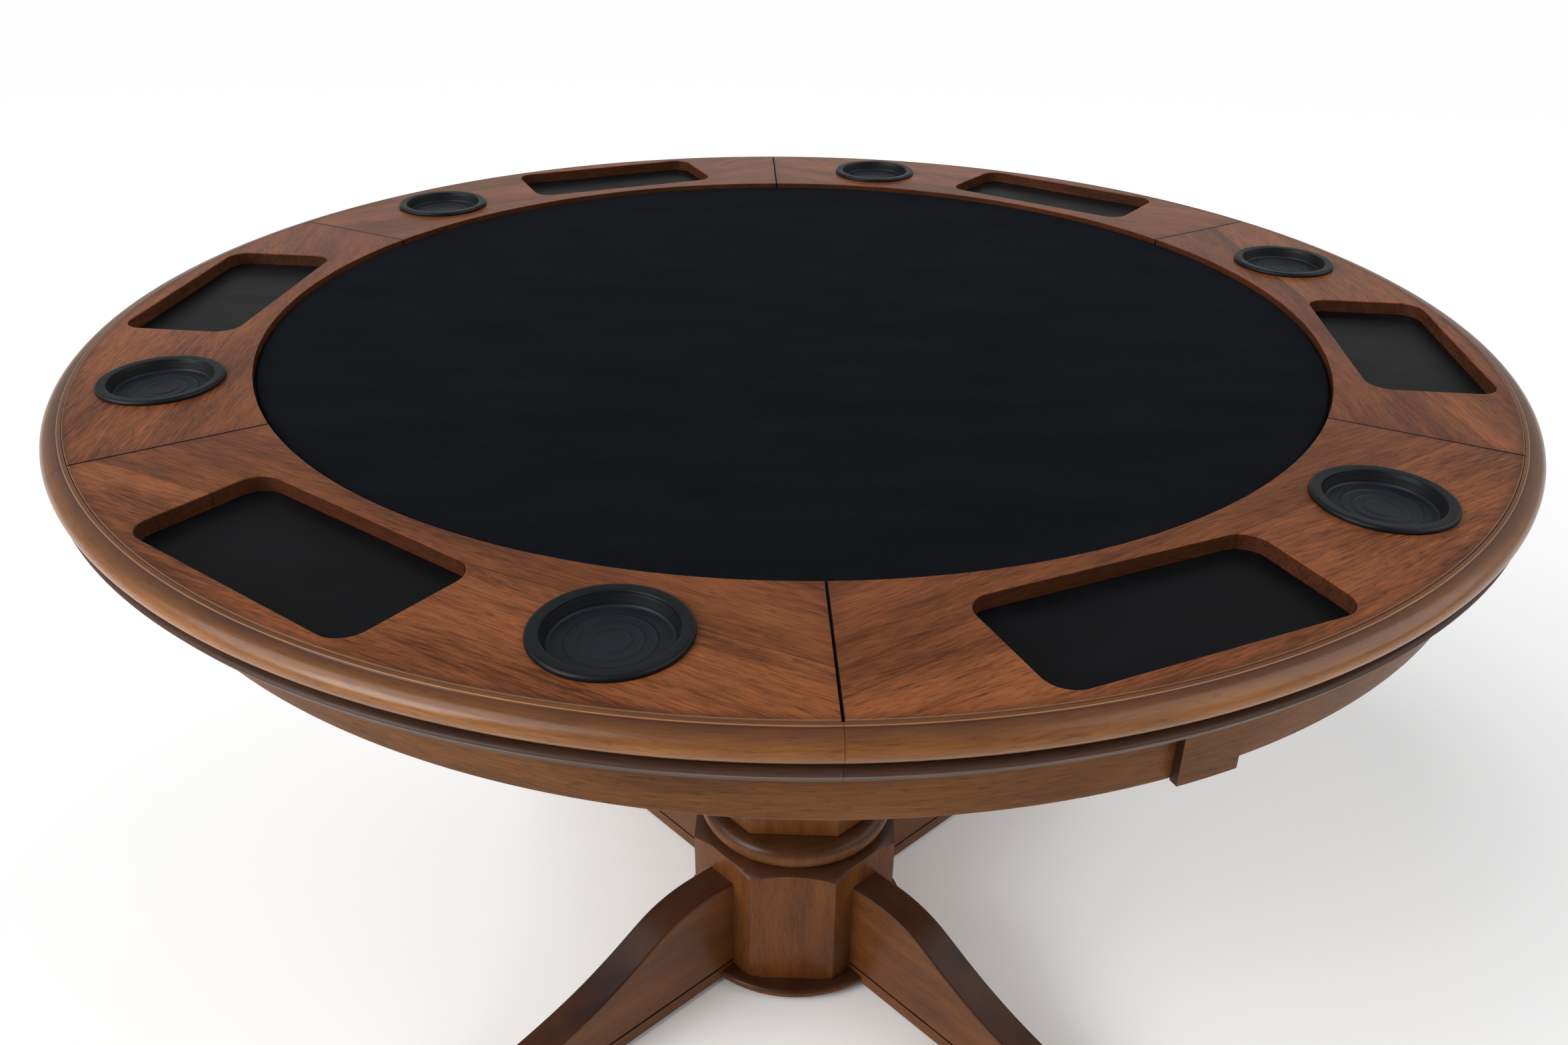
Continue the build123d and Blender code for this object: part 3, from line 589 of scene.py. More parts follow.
def edge_outline():
    """Closed outline of the moulding as (radius, height), and its mark of glaze and painted light at each
    point. The nose is
    half an ellipse: its middle plus (reach cos a, half height sin a)."""
    inner = RAIL_OUT
    crease_low = TOP - CREASE_DEPTH
    shelf_top = TOP - SHELF_DROP
    shelf_end = inner + CREASE_WIDTH + SHELF
    nose_start = shelf_end + ARRIS + STEP_RUN
    nose_top = TOP - NOSE_DROP
    middle = (nose_top + UNDER) / 2
    half = nose_top - middle
    reach = EDGE - nose_start
    step_top = shelf_top - 2 * HAIR - ARRIS
    # marks: 1 and 0.8 paint shade with glaze in the crease, on the shelf and the step; the upper nose
    # fades from painted shade to 0; 0.3 paints shade underneath; -0.5 paints a highlight on the arris
    parts = [
        (line((inner, UNDER), (inner, crease_low), 4), 1.0),
        (line((inner, crease_low), (inner + CREASE_FOOT, crease_low), 2), 1.0),
        (line((inner + CREASE_FOOT, crease_low + HAIR), (inner + CREASE_WIDTH, shelf_top), 2), 0.9),
        (line((inner + CREASE_WIDTH, shelf_top), (shelf_end, shelf_top - HAIR), 5), 0.8),
        (arc((shelf_end, shelf_top - HAIR - ARRIS), (ARRIS, ARRIS), 90, 0, 4), -0.5),
        (line((shelf_end + ARRIS, step_top), (nose_start, nose_top - HAIR), 2), 1.0),
        (arc((nose_start, middle), (reach, half), 90, 0, 18), (1.05, 0.15)),
        (arc((nose_start, middle), (reach, half), 0, -30, 6), (0.15, 0.0)),
        (arc((nose_start, middle), (reach, half), -30, -80, 9), 0.0),
        (line((nose_start + reach * FLAT_SHARE, UNDER), (inner, UNDER), 5), 0.3),
    ]
    outline, mark = [], []
    for points, value in parts:
        outline.append(points)
        first, last = value if isinstance(value, tuple) else (value, value)
        mark.append(np.linspace(first, last, len(points)))
    return np.vstack(outline), np.concatenate(mark)


def glaze_and_shade_by_mark(dark, amount):
    """Blend towards a dark colour of glaze and painted shade where the piece's mark is high, and towards a
    pale painted highlight below 0.
    """
    def add(shade, colour):
        mark = shade.node("Attribute", {"attribute_name": "glaze_shade_and_highlight"}, None, 2)
        patch = shade.noise(shade.place(), 9.0, 3.0)
        colour = shade.mix(((mark + (patch - 0.5) * 0.4) * amount).clamped(), colour, dark)
        # pale painted highlight where the mark is below 0
        return shade.mix((mark * -1.0).clamped(), colour, ARRIS_HIGHLIGHT)
    return add


EDGE_LIGHT = (0.300, 0.112, 0.019)
EDGE_DEEP = (0.130, 0.044, 0.009)
EDGE_SHADE_AND_GLAZE = (0.044, 0.015, 0.009)
EDGE_GAP = 0.012                # degrees left open at each end of a length
edge_shape, edge_shade_mark = edge_outline()
edge_look = wood("edge_wood", EDGE_LIGHT, EDGE_DEEP, along_the_piece, pores=0.4, streaks=0.3, clouds=0.4,
                 fine=0.5, rough=0.34, coat=0.30, gloss=0.18, after=glaze_and_shade_by_mark(EDGE_SHADE_AND_GLAZE, 0.85))
for sector in range(SECTORS):
    start = FIRST_SEAM + SECTOR * sector
    piece = swept_arc(f"edge_nose_{sector + 1}", edge_shape, start + EDGE_GAP, start + SECTOR - EDGE_GAP,
                      SECTOR_STEPS, {"glaze_shade_and_highlight": edge_shade_mark})
    finish_piece(dress(piece, edge_look), "playing_top", f"edge_moulding_{sector + 1}")
print("edge moulding", len(edge_shape), "points round its profile")

# %% [markdown]
# ## The playing cloth and its padding
# The cloth is cut round, laid over thin padding on the bed board, and turned down round its edge, so
# it dips into the narrow gap beside the rail. It is a thin turned sheet: a flat top, a rolled edge
# and a short skirt.

# %% Cloth
CLOTH_THICKNESS = 1.0 * MM
ROLL = 4.0 * MM                 # radius of the rolled edge
HEM = 0.2 * MM                  # how much the cut edge leans in, twice as far as it leans down
CLOTH_TOP = node_top("bed_felt")
SKIRT_LOW = DECK + 1.5 * MM
FIRST_RING = 20 * MM            # radius of the first ring of points round the middle


def cloth_profile():
    """Upper side out to the rolled edge and down, then back along the lower side."""
    outer = [[[0.0, CLOTH_TOP]],
             line((FIRST_RING, CLOTH_TOP), (BED - ROLL, CLOTH_TOP), 22),
             arc((BED - ROLL, CLOTH_TOP - ROLL), (ROLL, ROLL), 90, 0, 9),
             line((BED, CLOTH_TOP - ROLL), (BED, SKIRT_LOW), 3)]
    inset = BED - CLOTH_THICKNESS
    below = CLOTH_TOP - CLOTH_THICKNESS
    small = ROLL - CLOTH_THICKNESS
    inner = [line((BED - HEM, SKIRT_LOW - HEM / 2), (inset, SKIRT_LOW), 2),
             line((inset, SKIRT_LOW), (inset, below - small), 3),
             arc((inset - small, below - small), (small, small), 0, 90, 9),
             line((inset - small, below), (FIRST_RING, below), 22),
             [[0.0, below]]]
    return np.vstack(outer + inner)


def playing_cloth_look():
    """Near-black napped cloth: short fibres in fine and coarse tufts, with faint brushed patches."""
    shade = Shade("playing_cloth", Specular_IOR_Level=0.04)
    at = shade.place()
    nap = shade.noise(shade.stretched(at, (1300.0, 1300.0, 1300.0)), 1.0, 2.0, 0.6)
    brushed = shade.noise(shade.stretched(at, (9.0, 22.0, 9.0)), 1.0, 3.0, 0.6)
    fluff = shade.noise(shade.stretched(at, (260.0, 420.0, 260.0)), 1.0, 2.0, 0.6)
    tone = ((nap - 0.5) * 1.1 + (brushed - 0.5) * 0.9 + (fluff - 0.5) * 0.6 + 0.5).clamped()
    colour = shade.mix(tone, (0.0015, 0.0021, 0.0031), (0.0053, 0.0064, 0.0088))
    return shade.set(Base_Color=colour, Roughness=0.92,
                     Normal=shade.bump(nap * 0.6 + fluff * 0.4, 0.3 * MM, 0.6))


cloth = turned_piece("playing_cloth", cloth_profile(), 192)
finish_piece(dress(cloth, playing_cloth_look()), "playing_top", "bed_felt")

# %% [markdown]
# ## The padding under the cloth
# A sheet of closed-cell foam lies under the cloth and gives under a hand. It is hidden, but it fills
# the cloth: a plain disc with a rounded upper edge, turned like the cloth and a hair smaller, so the
# two never touch.

# %% Padding
PAD_ROUND = 2.0 * MM
PAD_TOP = CLOTH_TOP - CLOTH_THICKNESS - 0.05 * MM
PAD_LOW = node_low("bed_foam")
PAD_RADIUS = BED - CLOTH_THICKNESS - 0.1 * MM


def padding_profile():
    """Out along the lower side, up the edge, over its round and back in along the upper side."""
    first, rim = 50 * MM, PAD_RADIUS - PAD_ROUND
    return np.vstack([
        [[0.0, PAD_LOW]],
        line((first, PAD_LOW), (PAD_RADIUS, PAD_LOW), 8),
        line((PAD_RADIUS, PAD_LOW), (PAD_RADIUS, PAD_TOP - PAD_ROUND), 2),
        arc((rim, PAD_TOP - PAD_ROUND), (PAD_ROUND, PAD_ROUND), 0, 90, 6),
        line((rim, PAD_TOP), (first, PAD_TOP), 8),
        [[0.0, PAD_TOP]]])


def padding_look():
    """Dark grey foam with small cells."""
    shade = Shade("padding", Roughness=0.95)
    cells = shade.noise(shade.place(), 900.0, 2.0)
    return shade.set(Base_Color=shade.mix(cells, (0.03, 0.03, 0.03), (0.08, 0.08, 0.08)),
                     Normal=shade.bump(cells, 0.3 * MM))


padding = dress(turned_piece("bed_padding", padding_profile(), 128), padding_look())
finish_piece(padding, "playing_top", "bed_foam")
print(f"padding {1000 * (PAD_TOP - PAD_LOW):.1f} mm thick")

# %% [markdown]
# ## Cup holders
# Each is one moulding in black rubber: a rounded flange that stands on the rail, a shallow drafted
# wall and a floor with concentric grip rings. A solid with filleted edges would do from afar, but the
# rings are soft humps. So it is turned from a single profile, which is how its mould was made as
# well.

# %% Cup holder shape
FLANGE_HEIGHT = node_top("cup_holder_1") - TOP
FLANGE = node_radius("cup_holder_1")
CUP_LOW = node_low("cup_holder_1")
MOUTH = 42.8 * MM               # radius of the well at its mouth
CUP_BODY = 46.0 * MM            # radius of the part that drops into the pocket
FLOOR_DEPTH = 6.0 * MM          # from the rail down to the floor of the well
GRIP_RINGS = (12.0 * MM, 20.0 * MM, 28.0 * MM)
GRIP_HEIGHT = 0.7 * MM
GRIP_WIDTH = 1.6 * MM


def cup_floor(radii):
    """Height of the well's floor: flat, with a smooth hump (1 + cos) / 2 at each grip ring."""
    height = np.full(radii.shape, TOP - FLOOR_DEPTH)
    for ring_radius in GRIP_RINGS:
        offset = np.clip((radii - ring_radius) / GRIP_WIDTH, -1, 1)
        height += GRIP_HEIGHT * (1 + np.cos(np.pi * offset)) / 2
    return height


def cup_profile():
    """From the middle of the underside, out and up round the flange, and down into the well. Every corner
    is a quarter circle of its own radius."""
    round_low, round_rim, round_out, round_in, fillet = 1 * MM, 0.5 * MM, 2.6 * MM, 1.4 * MM, 2.2 * MM
    top = TOP + FLANGE_HEIGHT
    mouth_top = top - 0.25 * MM
    seat = TOP + 0.15 * MM
    floor = TOP - FLOOR_DEPTH
    foot = MOUTH - 3.2 * MM
    radii = np.linspace(foot - fillet, 0, 64)[:-1]
    return np.vstack([
        [[0.0, CUP_LOW]],
        line((10 * MM, CUP_LOW), (CUP_BODY - round_low, CUP_LOW), 3),
        arc((CUP_BODY - round_low, CUP_LOW + round_low), (round_low, round_low), -90, 0, 4),
        line((CUP_BODY, CUP_LOW + round_low), (CUP_BODY, seat), 3),
        line((CUP_BODY, seat), (FLANGE - round_rim, seat), 3),
        arc((FLANGE - round_rim, seat + round_rim), (round_rim, round_rim), -90, 0, 4),
        line((FLANGE, seat + round_rim), (FLANGE, top - round_out), 2),
        arc((FLANGE - round_out, top - round_out), (round_out, round_out), 0, 90, 9),
        line((FLANGE - round_out, top), (MOUTH + round_in, mouth_top), 4),
        arc((MOUTH + round_in, mouth_top - round_in), (round_in, round_in), 90, 180, 6),
        line((MOUTH, mouth_top - round_in), (foot + 0.3 * MM, floor + fillet), 5),
        arc((foot - fillet, floor + fillet), (fillet, fillet), 0, -90, 7),
        np.stack([radii, cup_floor(radii)], axis=1),
        [[0.0, floor]]])


def rubber_look():
    """Moulded black rubber: satin, with a faint bloom and fine grain; painted shade darkens the well and a
    painted sheen makes its floor paler."""
    shade = Shade("cup_rubber", Specular_IOR_Level=0.15)
    at = shade.place()
    bloom = shade.noise(at, 28.0, 4.0, 0.65)
    grain = shade.noise(at, 2400.0, 2.0)
    tone = ((bloom - 0.5) * 1.6 + 0.5).clamped()
    colour = shade.mix(tone, (0.0015, 0.0019, 0.0026), (0.0062, 0.0074, 0.0098))
    height = shade.axes(at)[2]
    # painted shade in the well and a painted sheen on its floor
    well_shade = 1 - height.above(TOP + 0.2 * MM, TOP + 2.0 * MM)
    floor_sheen = 1 - height.above(TOP - FLOOR_DEPTH + 1.0 * MM, TOP - FLOOR_DEPTH + 2.2 * MM)
    colour = shade.mix(well_shade * 0.75, colour, (0.0012, 0.0014, 0.0018))
    colour = shade.mix(floor_sheen * (bloom * 0.9 + 0.4), colour, (0.0095, 0.0115, 0.0155))
    rough = (bloom - 0.5) * 0.4 + 0.40 + well_shade * 0.25 - floor_sheen * 0.25
    return shade.set(Base_Color=colour, Roughness=rough,
                     Normal=shade.bump(grain * 0.6 + bloom * 0.4, 0.2 * MM, 0.5))


rubber = rubber_look()
for number in range(1, SECTORS + 1):
    centre = node_middle(f"cup_holder_{number}")
    cup = turned_piece(f"rubber_cup_{number}", cup_profile(), 96, (centre.x, centre.y))
    finish_piece(dress(cup, rubber), f"cup_{number}", f"cup_holder_{number}")
print(f"cup holders {SECTORS}, each {2000 * FLANGE:.0f} mm across")

# %% [markdown]
# ## Tray linings
# The floor of each tray is a thin black sheet with softly rounded edges. It is a stack of rounded
# rectangles that shrink towards the middle, which keeps its corners true and lets the edge roll over.

# %% Tray lining
TRAY_LENGTH = 232.7 * MM
TRAY_WIDTH = 110.2 * MM
TRAY_CORNER = 19.8 * MM


def rounded_rectangle(length, width, corner):
    """Outline of a rectangle whose corners are quarter circles of 8 steps each, anticlockwise."""
    steps, parts = 8, []
    for number, (sx, sy) in enumerate(((1, 1), (-1, 1), (-1, -1), (1, -1))):
        centre = (sx * (length / 2 - corner), sy * (width / 2 - corner))
        start = 90 * number
        parts.append(arc(centre, (corner, corner), start, start + 90 + 90 / steps, steps + 1))
    return np.vstack(parts)


def lining(name, sector):
    """Rings from the lower edge, over the rolled edge, to the middle of the sheet. Each is a rounded
    rectangle inset by so many millimetres, at a share of the sheet's thickness."""
    thickness = node_top(f"tray_liner_{sector + 1}") - DECK
    rings = ((0, 0), (0, 0.5), (0.3, 0.85), (0.8, 1), (3, 1), (12, 1), (30, 1), (48, 1))
    points = []
    for inset, share in rings:
        length, width = TRAY_LENGTH - 2 * inset * MM, TRAY_WIDTH - 2 * inset * MM
        flat = rounded_rectangle(length, width, max(TRAY_CORNER - inset * MM, 1 * MM))
        points.append(np.column_stack([flat, np.full(len(flat), DECK + share * thickness)]))
    columns = len(points[0])
    faces = list(ring_faces(len(rings), columns))
    faces += [np.arange(columns)[::-1], (len(rings) - 1) * columns + np.arange(columns)]
    angle = FIRST_SEAM + SECTOR * sector + TRAY_FROM_SEAM
    turn = np.array(Matrix.Rotation(math.radians(angle - 90), 3, "Z"))
    shift = np.array(turn_about_z((RAIL_MIDDLE, 0, 0), angle))
    return face_outwards(new_mesh_object(name, np.vstack(points) @ turn.T + shift, faces))


def lining_look():
    """Black vinyl: satin, with faint wiped streaks and specks of dust."""
    shade = Shade("tray_lining", Specular_IOR_Level=0.05)
    at = shade.place()
    wiped = shade.noise(shade.stretched(at, (14.0, 26.0, 14.0)), 1.0, 4.0, 0.6)
    grain = shade.noise(at, 1500.0, 2.0)
    dust = shade.noise(at, 620.0, 1.0).above(0.80, 0.84)
    tone = ((wiped - 0.5) * 1.6 + 0.5).clamped()
    colour = shade.mix(tone, (0.0014, 0.0016, 0.0020), (0.0048, 0.0051, 0.0062))
    colour = shade.mix(dust * 0.25, colour, (0.16, 0.16, 0.17))
    return shade.set(Base_Color=colour, Roughness=(wiped - 0.5) * 0.3 + 0.34,
                     Normal=shade.bump(grain, 0.12 * MM, 0.5))


vinyl = lining_look()
for sector in range(SECTORS):
    sheet = lining(f"tray_floor_{sector + 1}", sector)
    finish_piece(dress(sheet, vinyl), "playing_top", f"tray_liner_{sector + 1}")
print(f"tray linings {SECTORS}, each {1000 * TRAY_LENGTH:.0f} by {1000 * TRAY_WIDTH:.0f} mm")

# %% [markdown]
# ## The beaded ring under the top
# A flat ring under the playing top ends in a flattened bead over a small arris. It could be turned
# whole, but it is sawn in four lengths, so it is an outline carried round four arcs, and its grain
# follows the curve.

# %% Beaded ring
RING_TOP = node_top("under_ring_1")
RING_LOW = node_low("under_ring_1")
RING_NOSE = joined_radius("under_ring_")
RING_WIDTH = 96.0 * MM
BEAD_BACK = 9.0 * MM            # how far in the bead's round begins
BEAD_DROP = 3.6 * MM            # and how far down it reaches
ARRIS_BACK = 3.0 * MM           # the arris under the bead, in from the nose
ARRIS_DROP = 7.0 * MM           # and down from the top
ARRIS_CUT = 0.4 * MM            # its cut corner
FOOT_LEAN = 1.5 * MM            # how far the face below it leans in
QUARTER_GAP = 0.01              # degrees left open at each end of a quarter length


def ring_outline():
    """Flat ring whose outer edge is a quarter ellipse over a small arris, and its mark of painted shade
    under the top, which rises from 0 at 5 mm behind the nose to 0.8 at 9 mm."""
    arris, inner = RING_NOSE - ARRIS_BACK, RING_NOSE - RING_WIDTH
    arris_high = RING_TOP - ARRIS_DROP
    bead = (RING_NOSE - BEAD_BACK, RING_TOP - BEAD_DROP)
    outline = np.vstack([
        line((inner, RING_LOW), (inner, RING_TOP), 3),
        line((inner, RING_TOP), (bead[0], RING_TOP), 4),
        arc(bead, (BEAD_BACK, BEAD_DROP), 90, 0, 12),
        line((RING_NOSE, bead[1]), (arris + ARRIS_CUT, arris_high + ARRIS_CUT), 3),
        line((arris, arris_high), (arris - FOOT_LEAN, RING_LOW), 3),
        line((arris - FOOT_LEAN, RING_LOW), (inner, RING_LOW), 6)])
    # painted shade that deepens further in under the top
    mark = np.clip((RING_NOSE - 5 * MM - outline[:, 0]) / (4 * MM), 0, 1) * 0.8
    return outline, mark


# the ring's wood is darkened well below the apron's as painted shade under the overhanging top
RING_PALE_IN_SHADE = (0.078, 0.040, 0.026)
RING_DEEP_IN_SHADE = (0.038, 0.019, 0.013)
RING_SHADE = (0.020, 0.012, 0.009)
ring_look = wood("ring_wood_in_shade", RING_PALE_IN_SHADE, RING_DEEP_IN_SHADE, along_the_piece, pores=0.3, streaks=0.2, clouds=0.3,
                 fine=0.4, rough=0.4, coat=0.04, gloss=0.12, after=glaze_and_shade_by_mark(RING_SHADE, 0.9))
ring_shape, ring_shade_mark = ring_outline()
for quarter in range(QUARTERS):
    start = FIRST_SEAM + QUARTER * quarter
    piece = swept_arc(f"bead_ring_{quarter + 1}", ring_shape, start + QUARTER_GAP,
                      start + QUARTER - QUARTER_GAP, QUARTER_STEPS, {"glaze_shade_and_highlight": ring_shade_mark})
    finish_piece(dress(piece, ring_look), "playing_top", f"under_ring_{quarter + 1}")
print(f"ring {1000 * RING_WIDTH:.0f} mm wide, its bead at radius {RING_NOSE:.4f} m")

# %% [markdown]
# ## The apron
# The apron is a bent board on edge in four lengths. A proud block covers each joint: the blocks keep
# their CAD shape, because they are plain, and only the boards are made again, so that their grain can
# follow the bend.

# %% Apron
APRON_JOINT = angle_of("joint_block_1", BASE_AXIS)
APRON_OUT = joined_radius("apron_")
APRON_THICK = 18.0 * MM
APRON_LOW = node_low("apron_1")
APRON_TOP = node_top("apron_1")
APRON_LIGHT = (0.168, 0.063, 0.016)
APRON_DEEP = (0.080, 0.029, 0.008)
APRON_GRAIN = {"pores": 0.45, "streaks": 0.22, "clouds": 0.35, "fine": 0.7, "rough": 0.38, "gloss": 0.12}


def apron_outline():
    """A board on edge whose lower arrises are quarter circles."""
    inner, soft = APRON_OUT - APRON_THICK, 1.2 * MM
    return np.vstack([
        line((inner, APRON_TOP), (inner, APRON_LOW + soft), 5),
        arc((inner + soft, APRON_LOW + soft), (soft, soft), 180, 270, 4),
        line((inner + soft, APRON_LOW), (APRON_OUT - soft, APRON_LOW), 3),
        arc((APRON_OUT - soft, APRON_LOW + soft), (soft, soft), 270, 360, 4),
        line((APRON_OUT, APRON_LOW + soft), (APRON_OUT, APRON_TOP), 8),
        line((APRON_OUT, APRON_TOP), (inner, APRON_TOP), 3)])


def apron_shadow(shade, colour):
    """Painted shade at the top of the apron, in the corner under the ring."""
    height = shade.node("SeparateXYZ", None, {0: shade.place()}, 2)
    return shade.mix(height.above(APRON_TOP - 6 * MM, APRON_TOP) * 0.5, colour, GLAZE_AND_SHADE)


def block_shadow(angle):
    """The same, and painted shade on the narrow ends of a block, where the face looks along the apron: the
    size of normal . along is near 1 there."""
    along = (-math.sin(math.radians(angle)), math.cos(math.radians(angle)), 0.0)

    def add(shade, colour):
        facing = shade.node("NewGeometry", None, None, "Normal")
        end = shade.node("VectorMath", {"operation": "DOT_PRODUCT"}, {0: facing, 1: along}, 1)
        # painted shade on the block's ends
        ends = end.maths("ABSOLUTE").above(0.55, 0.90)
        return shade.mix(ends * 0.85, apron_shadow(shade, colour), GLAZE_AND_SHADE)
    return add


def block_grain(angle, shift):
    """Coordinates whose X runs along the apron at a block, shifted so that no two blocks are alike."""
    return lambda shade: shade.place(turn=(0, 0, -(angle + 90)), shift=(shift, 0, 0))


apron_look = wood("apron_wood", APRON_LIGHT, APRON_DEEP, along_the_piece, after=apron_shadow,
                  **APRON_GRAIN)
for quarter in range(QUARTERS):
    start = APRON_JOINT + QUARTER * quarter
    piece = swept_arc(f"curved_apron_{quarter + 1}", apron_outline(), start + QUARTER_GAP,
                      start + QUARTER - QUARTER_GAP, QUARTER_STEPS, centre=BASE_AXIS)
    finish_piece(dress(piece, apron_look), "base", f"apron_{quarter + 1}")
    look = wood(f"block_wood_{quarter + 1}", APRON_LIGHT, APRON_DEEP, block_grain(start, 0.2 * quarter),
                after=block_shadow(start), **APRON_GRAIN)
    dress(NODES[f"joint_block_{quarter + 1}"], look)
print("apron boards and joint blocks", QUARTERS, "of each")

# %% [markdown]
# ## The pedestal
# The hub is an eight-sided block that was turned at both ends, so each flat face ends in a curve. Its
# CAD shape is right but its edges are knife sharp. A copy with a narrow bevel catches the light as
# sanded edges do, and so does a copy of the shaft. The neck ring, the disc and the legs are round or
# already eased, so they keep their CAD meshes.

# %% Pedestal shapes
LEG_LIGHT = (0.155, 0.054, 0.013)
LEG_DEEP = (0.062, 0.020, 0.0055)
LEG_GRAIN = {"pores": 0.4, "streaks": 0.16, "clouds": 0.3, "fine": 0.45, "rough": 0.32, "coat": 0.05,
             "gloss": 0.16}
FIRST_LEG = 45.0                # degrees from the X axis
BETWEEN_LEGS = 360.0 / LEGS


def pedestal_stain_and_shade(shade, colour):
    """Painted shade on the faces that look up, and dark stain in drifting patches elsewhere."""
    patch = shade.noise(shade.place(), 7.0, 3.0)
    facing = shade.axes(shade.node("NewGeometry", None, None, "Normal"))[2]
    # painted shade on faces that look up
    top_shade = facing.above(0.10, 0.70) * (patch * 0.6 + 0.42)
    return shade.mix((top_shade + patch.above(0.55, 0.80) * 0.35).clamped(), colour, GLAZE_AND_SHADE)


def softened_copy(name, new_name, width):
    """A copy of a CAD piece whose sharp edges are rounded by a narrow bevel."""
    made = bpy.data.objects.new(new_name, NODES[name].data.copy())
    bpy.context.scene.collection.objects.link(made)
    face_outwards(made)
    bevel = made.modifiers.new("arris", "BEVEL")
    bevel.width = width
    bevel.segments = 3
    bevel.limit_method = "ANGLE"
    bevel.angle_limit = math.radians(30)
    bevel.harden_normals = True
    return made


def upright_grain(shade):
    """Coordinates whose X runs up the pedestal."""
    return shade.place(turn=(0, 90, 0))


def leg_grain(number):
    """Coordinates whose X runs out along a leg, shifted so that no two legs are alike."""
    angle = FIRST_LEG + BETWEEN_LEGS * (number - 1)
    return lambda shade: shade.place(turn=(0, 0, -angle), shift=(0.5 * number, 0, 0))


upright = wood("pedestal_wood", LEG_LIGHT, LEG_DEEP, upright_grain, after=pedestal_stain_and_shade, **LEG_GRAIN)
for name, new_name, width in (("hub", "leg_hub", 1.8 * MM), ("column", "shaft", 2.5 * MM)):
    finish_piece(dress(softened_copy(name, new_name, width), upright), "base", name)
for name in ("neck_ring", "base_disc"):
    dress(NODES[name], upright)
for number in range(1, LEGS + 1):
    look = wood(f"leg_wood_{number}", LEG_LIGHT, LEG_DEEP, leg_grain(number), after=pedestal_stain_and_shade,
                **LEG_GRAIN)
    dress(NODES[f"leg_{number}"], look)
print(f"pedestal pieces dressed: hub, shaft, neck ring, disc and {LEGS} legs")

# %% [markdown]
# ## Hidden and small parts
# The deck, bearers, plate and fasteners only show from below or when the top is lifted, and the black
# spacer is a thin dark line under the nose; it is made near black so that it also stands for the shadow
# in the gap. They keep their CAD shapes, with plain planed wood, zinc plate and dark plastic in place
# of a lacquered finish. Their boards take the grain along the model's X axis, which Shade.place gives.

# %% Under the top
DECKS = ("deck_board", "bed_board")
FRAMING = ("bearer_lower", "bearer_upper", "mounting_plate", "splice_blocks", "leg_dowels")
FASTENERS = ("deck_screws", "frame_screws", "leg_studs", "nuts_and_washers", "tie_rod")


def metal_look():
    """Zinc plate: pale and slightly cloudy."""
    shade = Shade("zinc_steel", Metallic=1.0)
    cloud = shade.noise(shade.place(), 160.0, 3.0)
    return shade.set(Base_Color=shade.mix(cloud, (0.42, 0.42, 0.40), (0.62, 0.62, 0.60)),
                     Roughness=cloud * 0.25 + 0.25, Normal=shade.bump(cloud, 0.1 * MM, 0.3))


def dark_plastic(name, dark, light, rough):
    """Moulded plastic in one dark colour with a fine texture."""
    shade = Shade(name)
    grain = shade.noise(shade.place(), 700.0, 3.0)
    return shade.set(Base_Color=shade.mix(grain, dark, light), Roughness=grain * 0.1 + rough,
                     Normal=shade.bump(grain, 0.1 * MM, 0.4))


deck_look = wood("deck_wood", (0.20, 0.09, 0.04), (0.11, 0.045, 0.02), Shade.place, rough=0.45)
plain_look = wood("inner_wood", (0.52, 0.38, 0.24), (0.36, 0.24, 0.14), Shade.place, rough=0.6)
for names, look in ((DECKS, deck_look), (FRAMING, plain_look), (FASTENERS, metal_look())):
    for name in names:
        dress(NODES[name], look)
dress(NODES["foot_glides"], dark_plastic("glide_nylon", (0.03, 0.025, 0.02), (0.05, 0.045, 0.04), 0.5))
# near black, so that the spacer also paints the shadow in the gap under the nose
dress(NODES["ring_spacer"], dark_plastic("spacer", (0.003, 0.003, 0.003), (0.006, 0.006, 0.006), 0.85))
print("hidden pieces dressed:", len(DECKS + FRAMING + FASTENERS) + 2)

# %% [markdown]
# ## Floor and light
# The floor is plain and pale. Two very wide lights lean in from the sides, so nothing overhead glares
# off the flat rail and the round nose catches a long soft highlight at each side. Two smaller lights
# in front brighten the apron, and a low one behind makes the far rail a little hazy. The left side is
# the brighter one.

# %% Stage
FLOOR_REACH = 90.0


def floor():
    """A wide pale square under the table, so large that its far edge lies at the horizon."""
    corners = FLOOR_REACH * np.array([(-1, -1, 0), (1, -1, 0), (1, 1, 0), (-1, 1, 0)])
    made = new_mesh_object("floor", corners, [[0, 1, 2, 3]])
    shade = Shade("floor", Roughness=0.8)
    dress(made, shade.set(Base_Color=(0.93, 0.93, 0.93)))


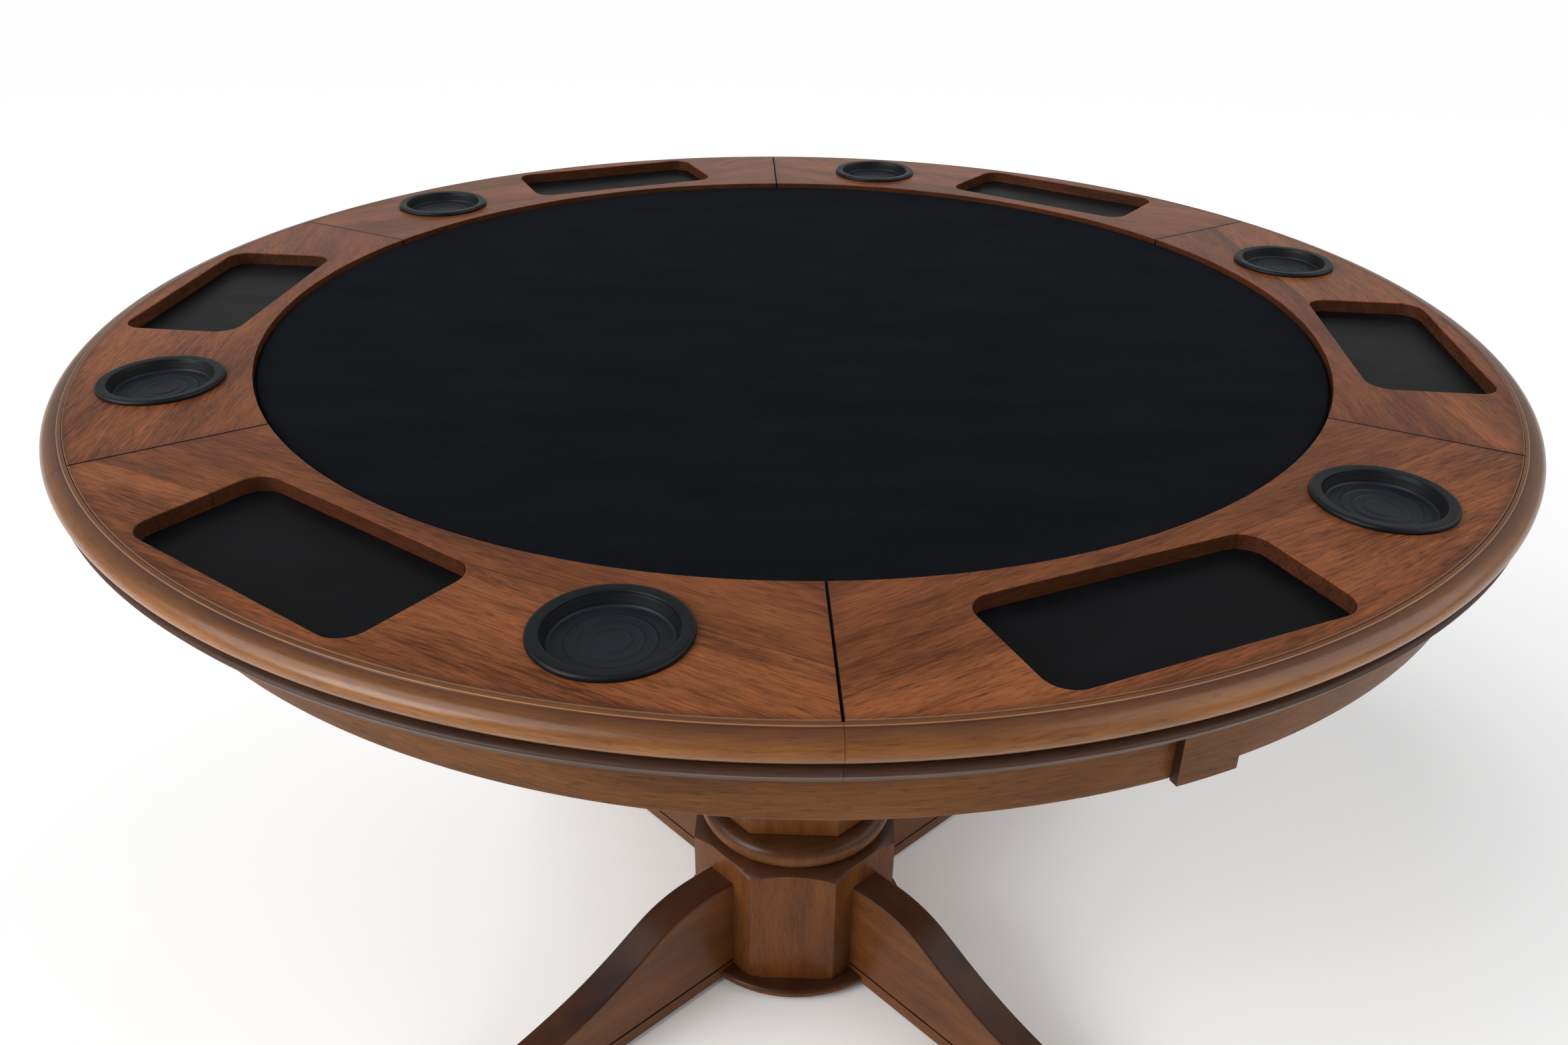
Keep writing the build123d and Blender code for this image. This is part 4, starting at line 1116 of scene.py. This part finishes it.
def soft_light(name, place, target, size, power):
    """A rectangular area light that points at a target; it lights but isn't seen itself."""
    light = bpy.data.lights.new(name, "AREA")
    light.shape = "RECTANGLE"
    light.size, light.size_y = size
    light.energy = power
    made = bpy.data.objects.new(name, light)
    made.location = place
    made.rotation_euler = (Vector(target) - Vector(place)).to_track_quat("-Z", "Y").to_euler()
    made.visible_camera = False
    bpy.context.scene.collection.objects.link(made)


def broad_sun(name, power, width, side, lean):
    """A very wide, even light: side is the angle it comes from, lean is how far it is from overhead."""
    light = bpy.data.lights.new(name, "SUN")
    light.energy = power
    light.angle = math.radians(width)
    made = bpy.data.objects.new(name, light)
    made.rotation_euler = (0, math.radians(lean), math.radians(side))
    bpy.context.scene.collection.objects.link(made)


def studio(fill, seen):
    """A white surround: a weak fill for the light that reaches the table, brighter to look at."""
    world = bpy.data.worlds.new("studio")
    world.use_nodes = True
    tree = world.node_tree
    soft, backdrop = tree.nodes["Background"], tree.nodes.new("ShaderNodeBackground")
    soft.inputs["Color"].default_value = backdrop.inputs["Color"].default_value = (1.0, 1.0, 1.0, 1.0)
    soft.inputs["Strength"].default_value = fill
    backdrop.inputs["Strength"].default_value = seen
    path, choice = tree.nodes.new("ShaderNodeLightPath"), tree.nodes.new("ShaderNodeMixShader")
    tree.links.new(path.outputs["Is Camera Ray"], choice.inputs[0])
    tree.links.new(soft.outputs[0], choice.inputs[1])
    tree.links.new(backdrop.outputs[0], choice.inputs[2])
    tree.links.new(choice.outputs[0], tree.nodes["World Output"].inputs["Surface"])
    bpy.context.scene.world = world


floor()
studio(0.40, 1.0)
broad_sun("wide_left", 2.2, 55.0, 205.0, 50.0)
broad_sun("wide_right", 1.15, 55.0, 0.0, 50.0)
soft_light("left", (-2.6, -2.2, 2.1), (0, 0, 0.75), (1.4, 1.8), 50)
soft_light("right", (2.6, -2.4, 1.9), (0, 0, 0.75), (1.4, 1.8), 6)
soft_light("behind", (0, 4.6, 1.55), (0, 0.4, 0.8), (8.0, 1.3), 10)
bpy.context.scene.view_settings.view_transform = "Standard"
bpy.context.scene.view_settings.look = "None"

# %% [markdown] ## Finish The CAD box is written out.

# %% Sizes and finish
print("cad box", [round(v, 4) for v in (*cad_low, *cad_high)])
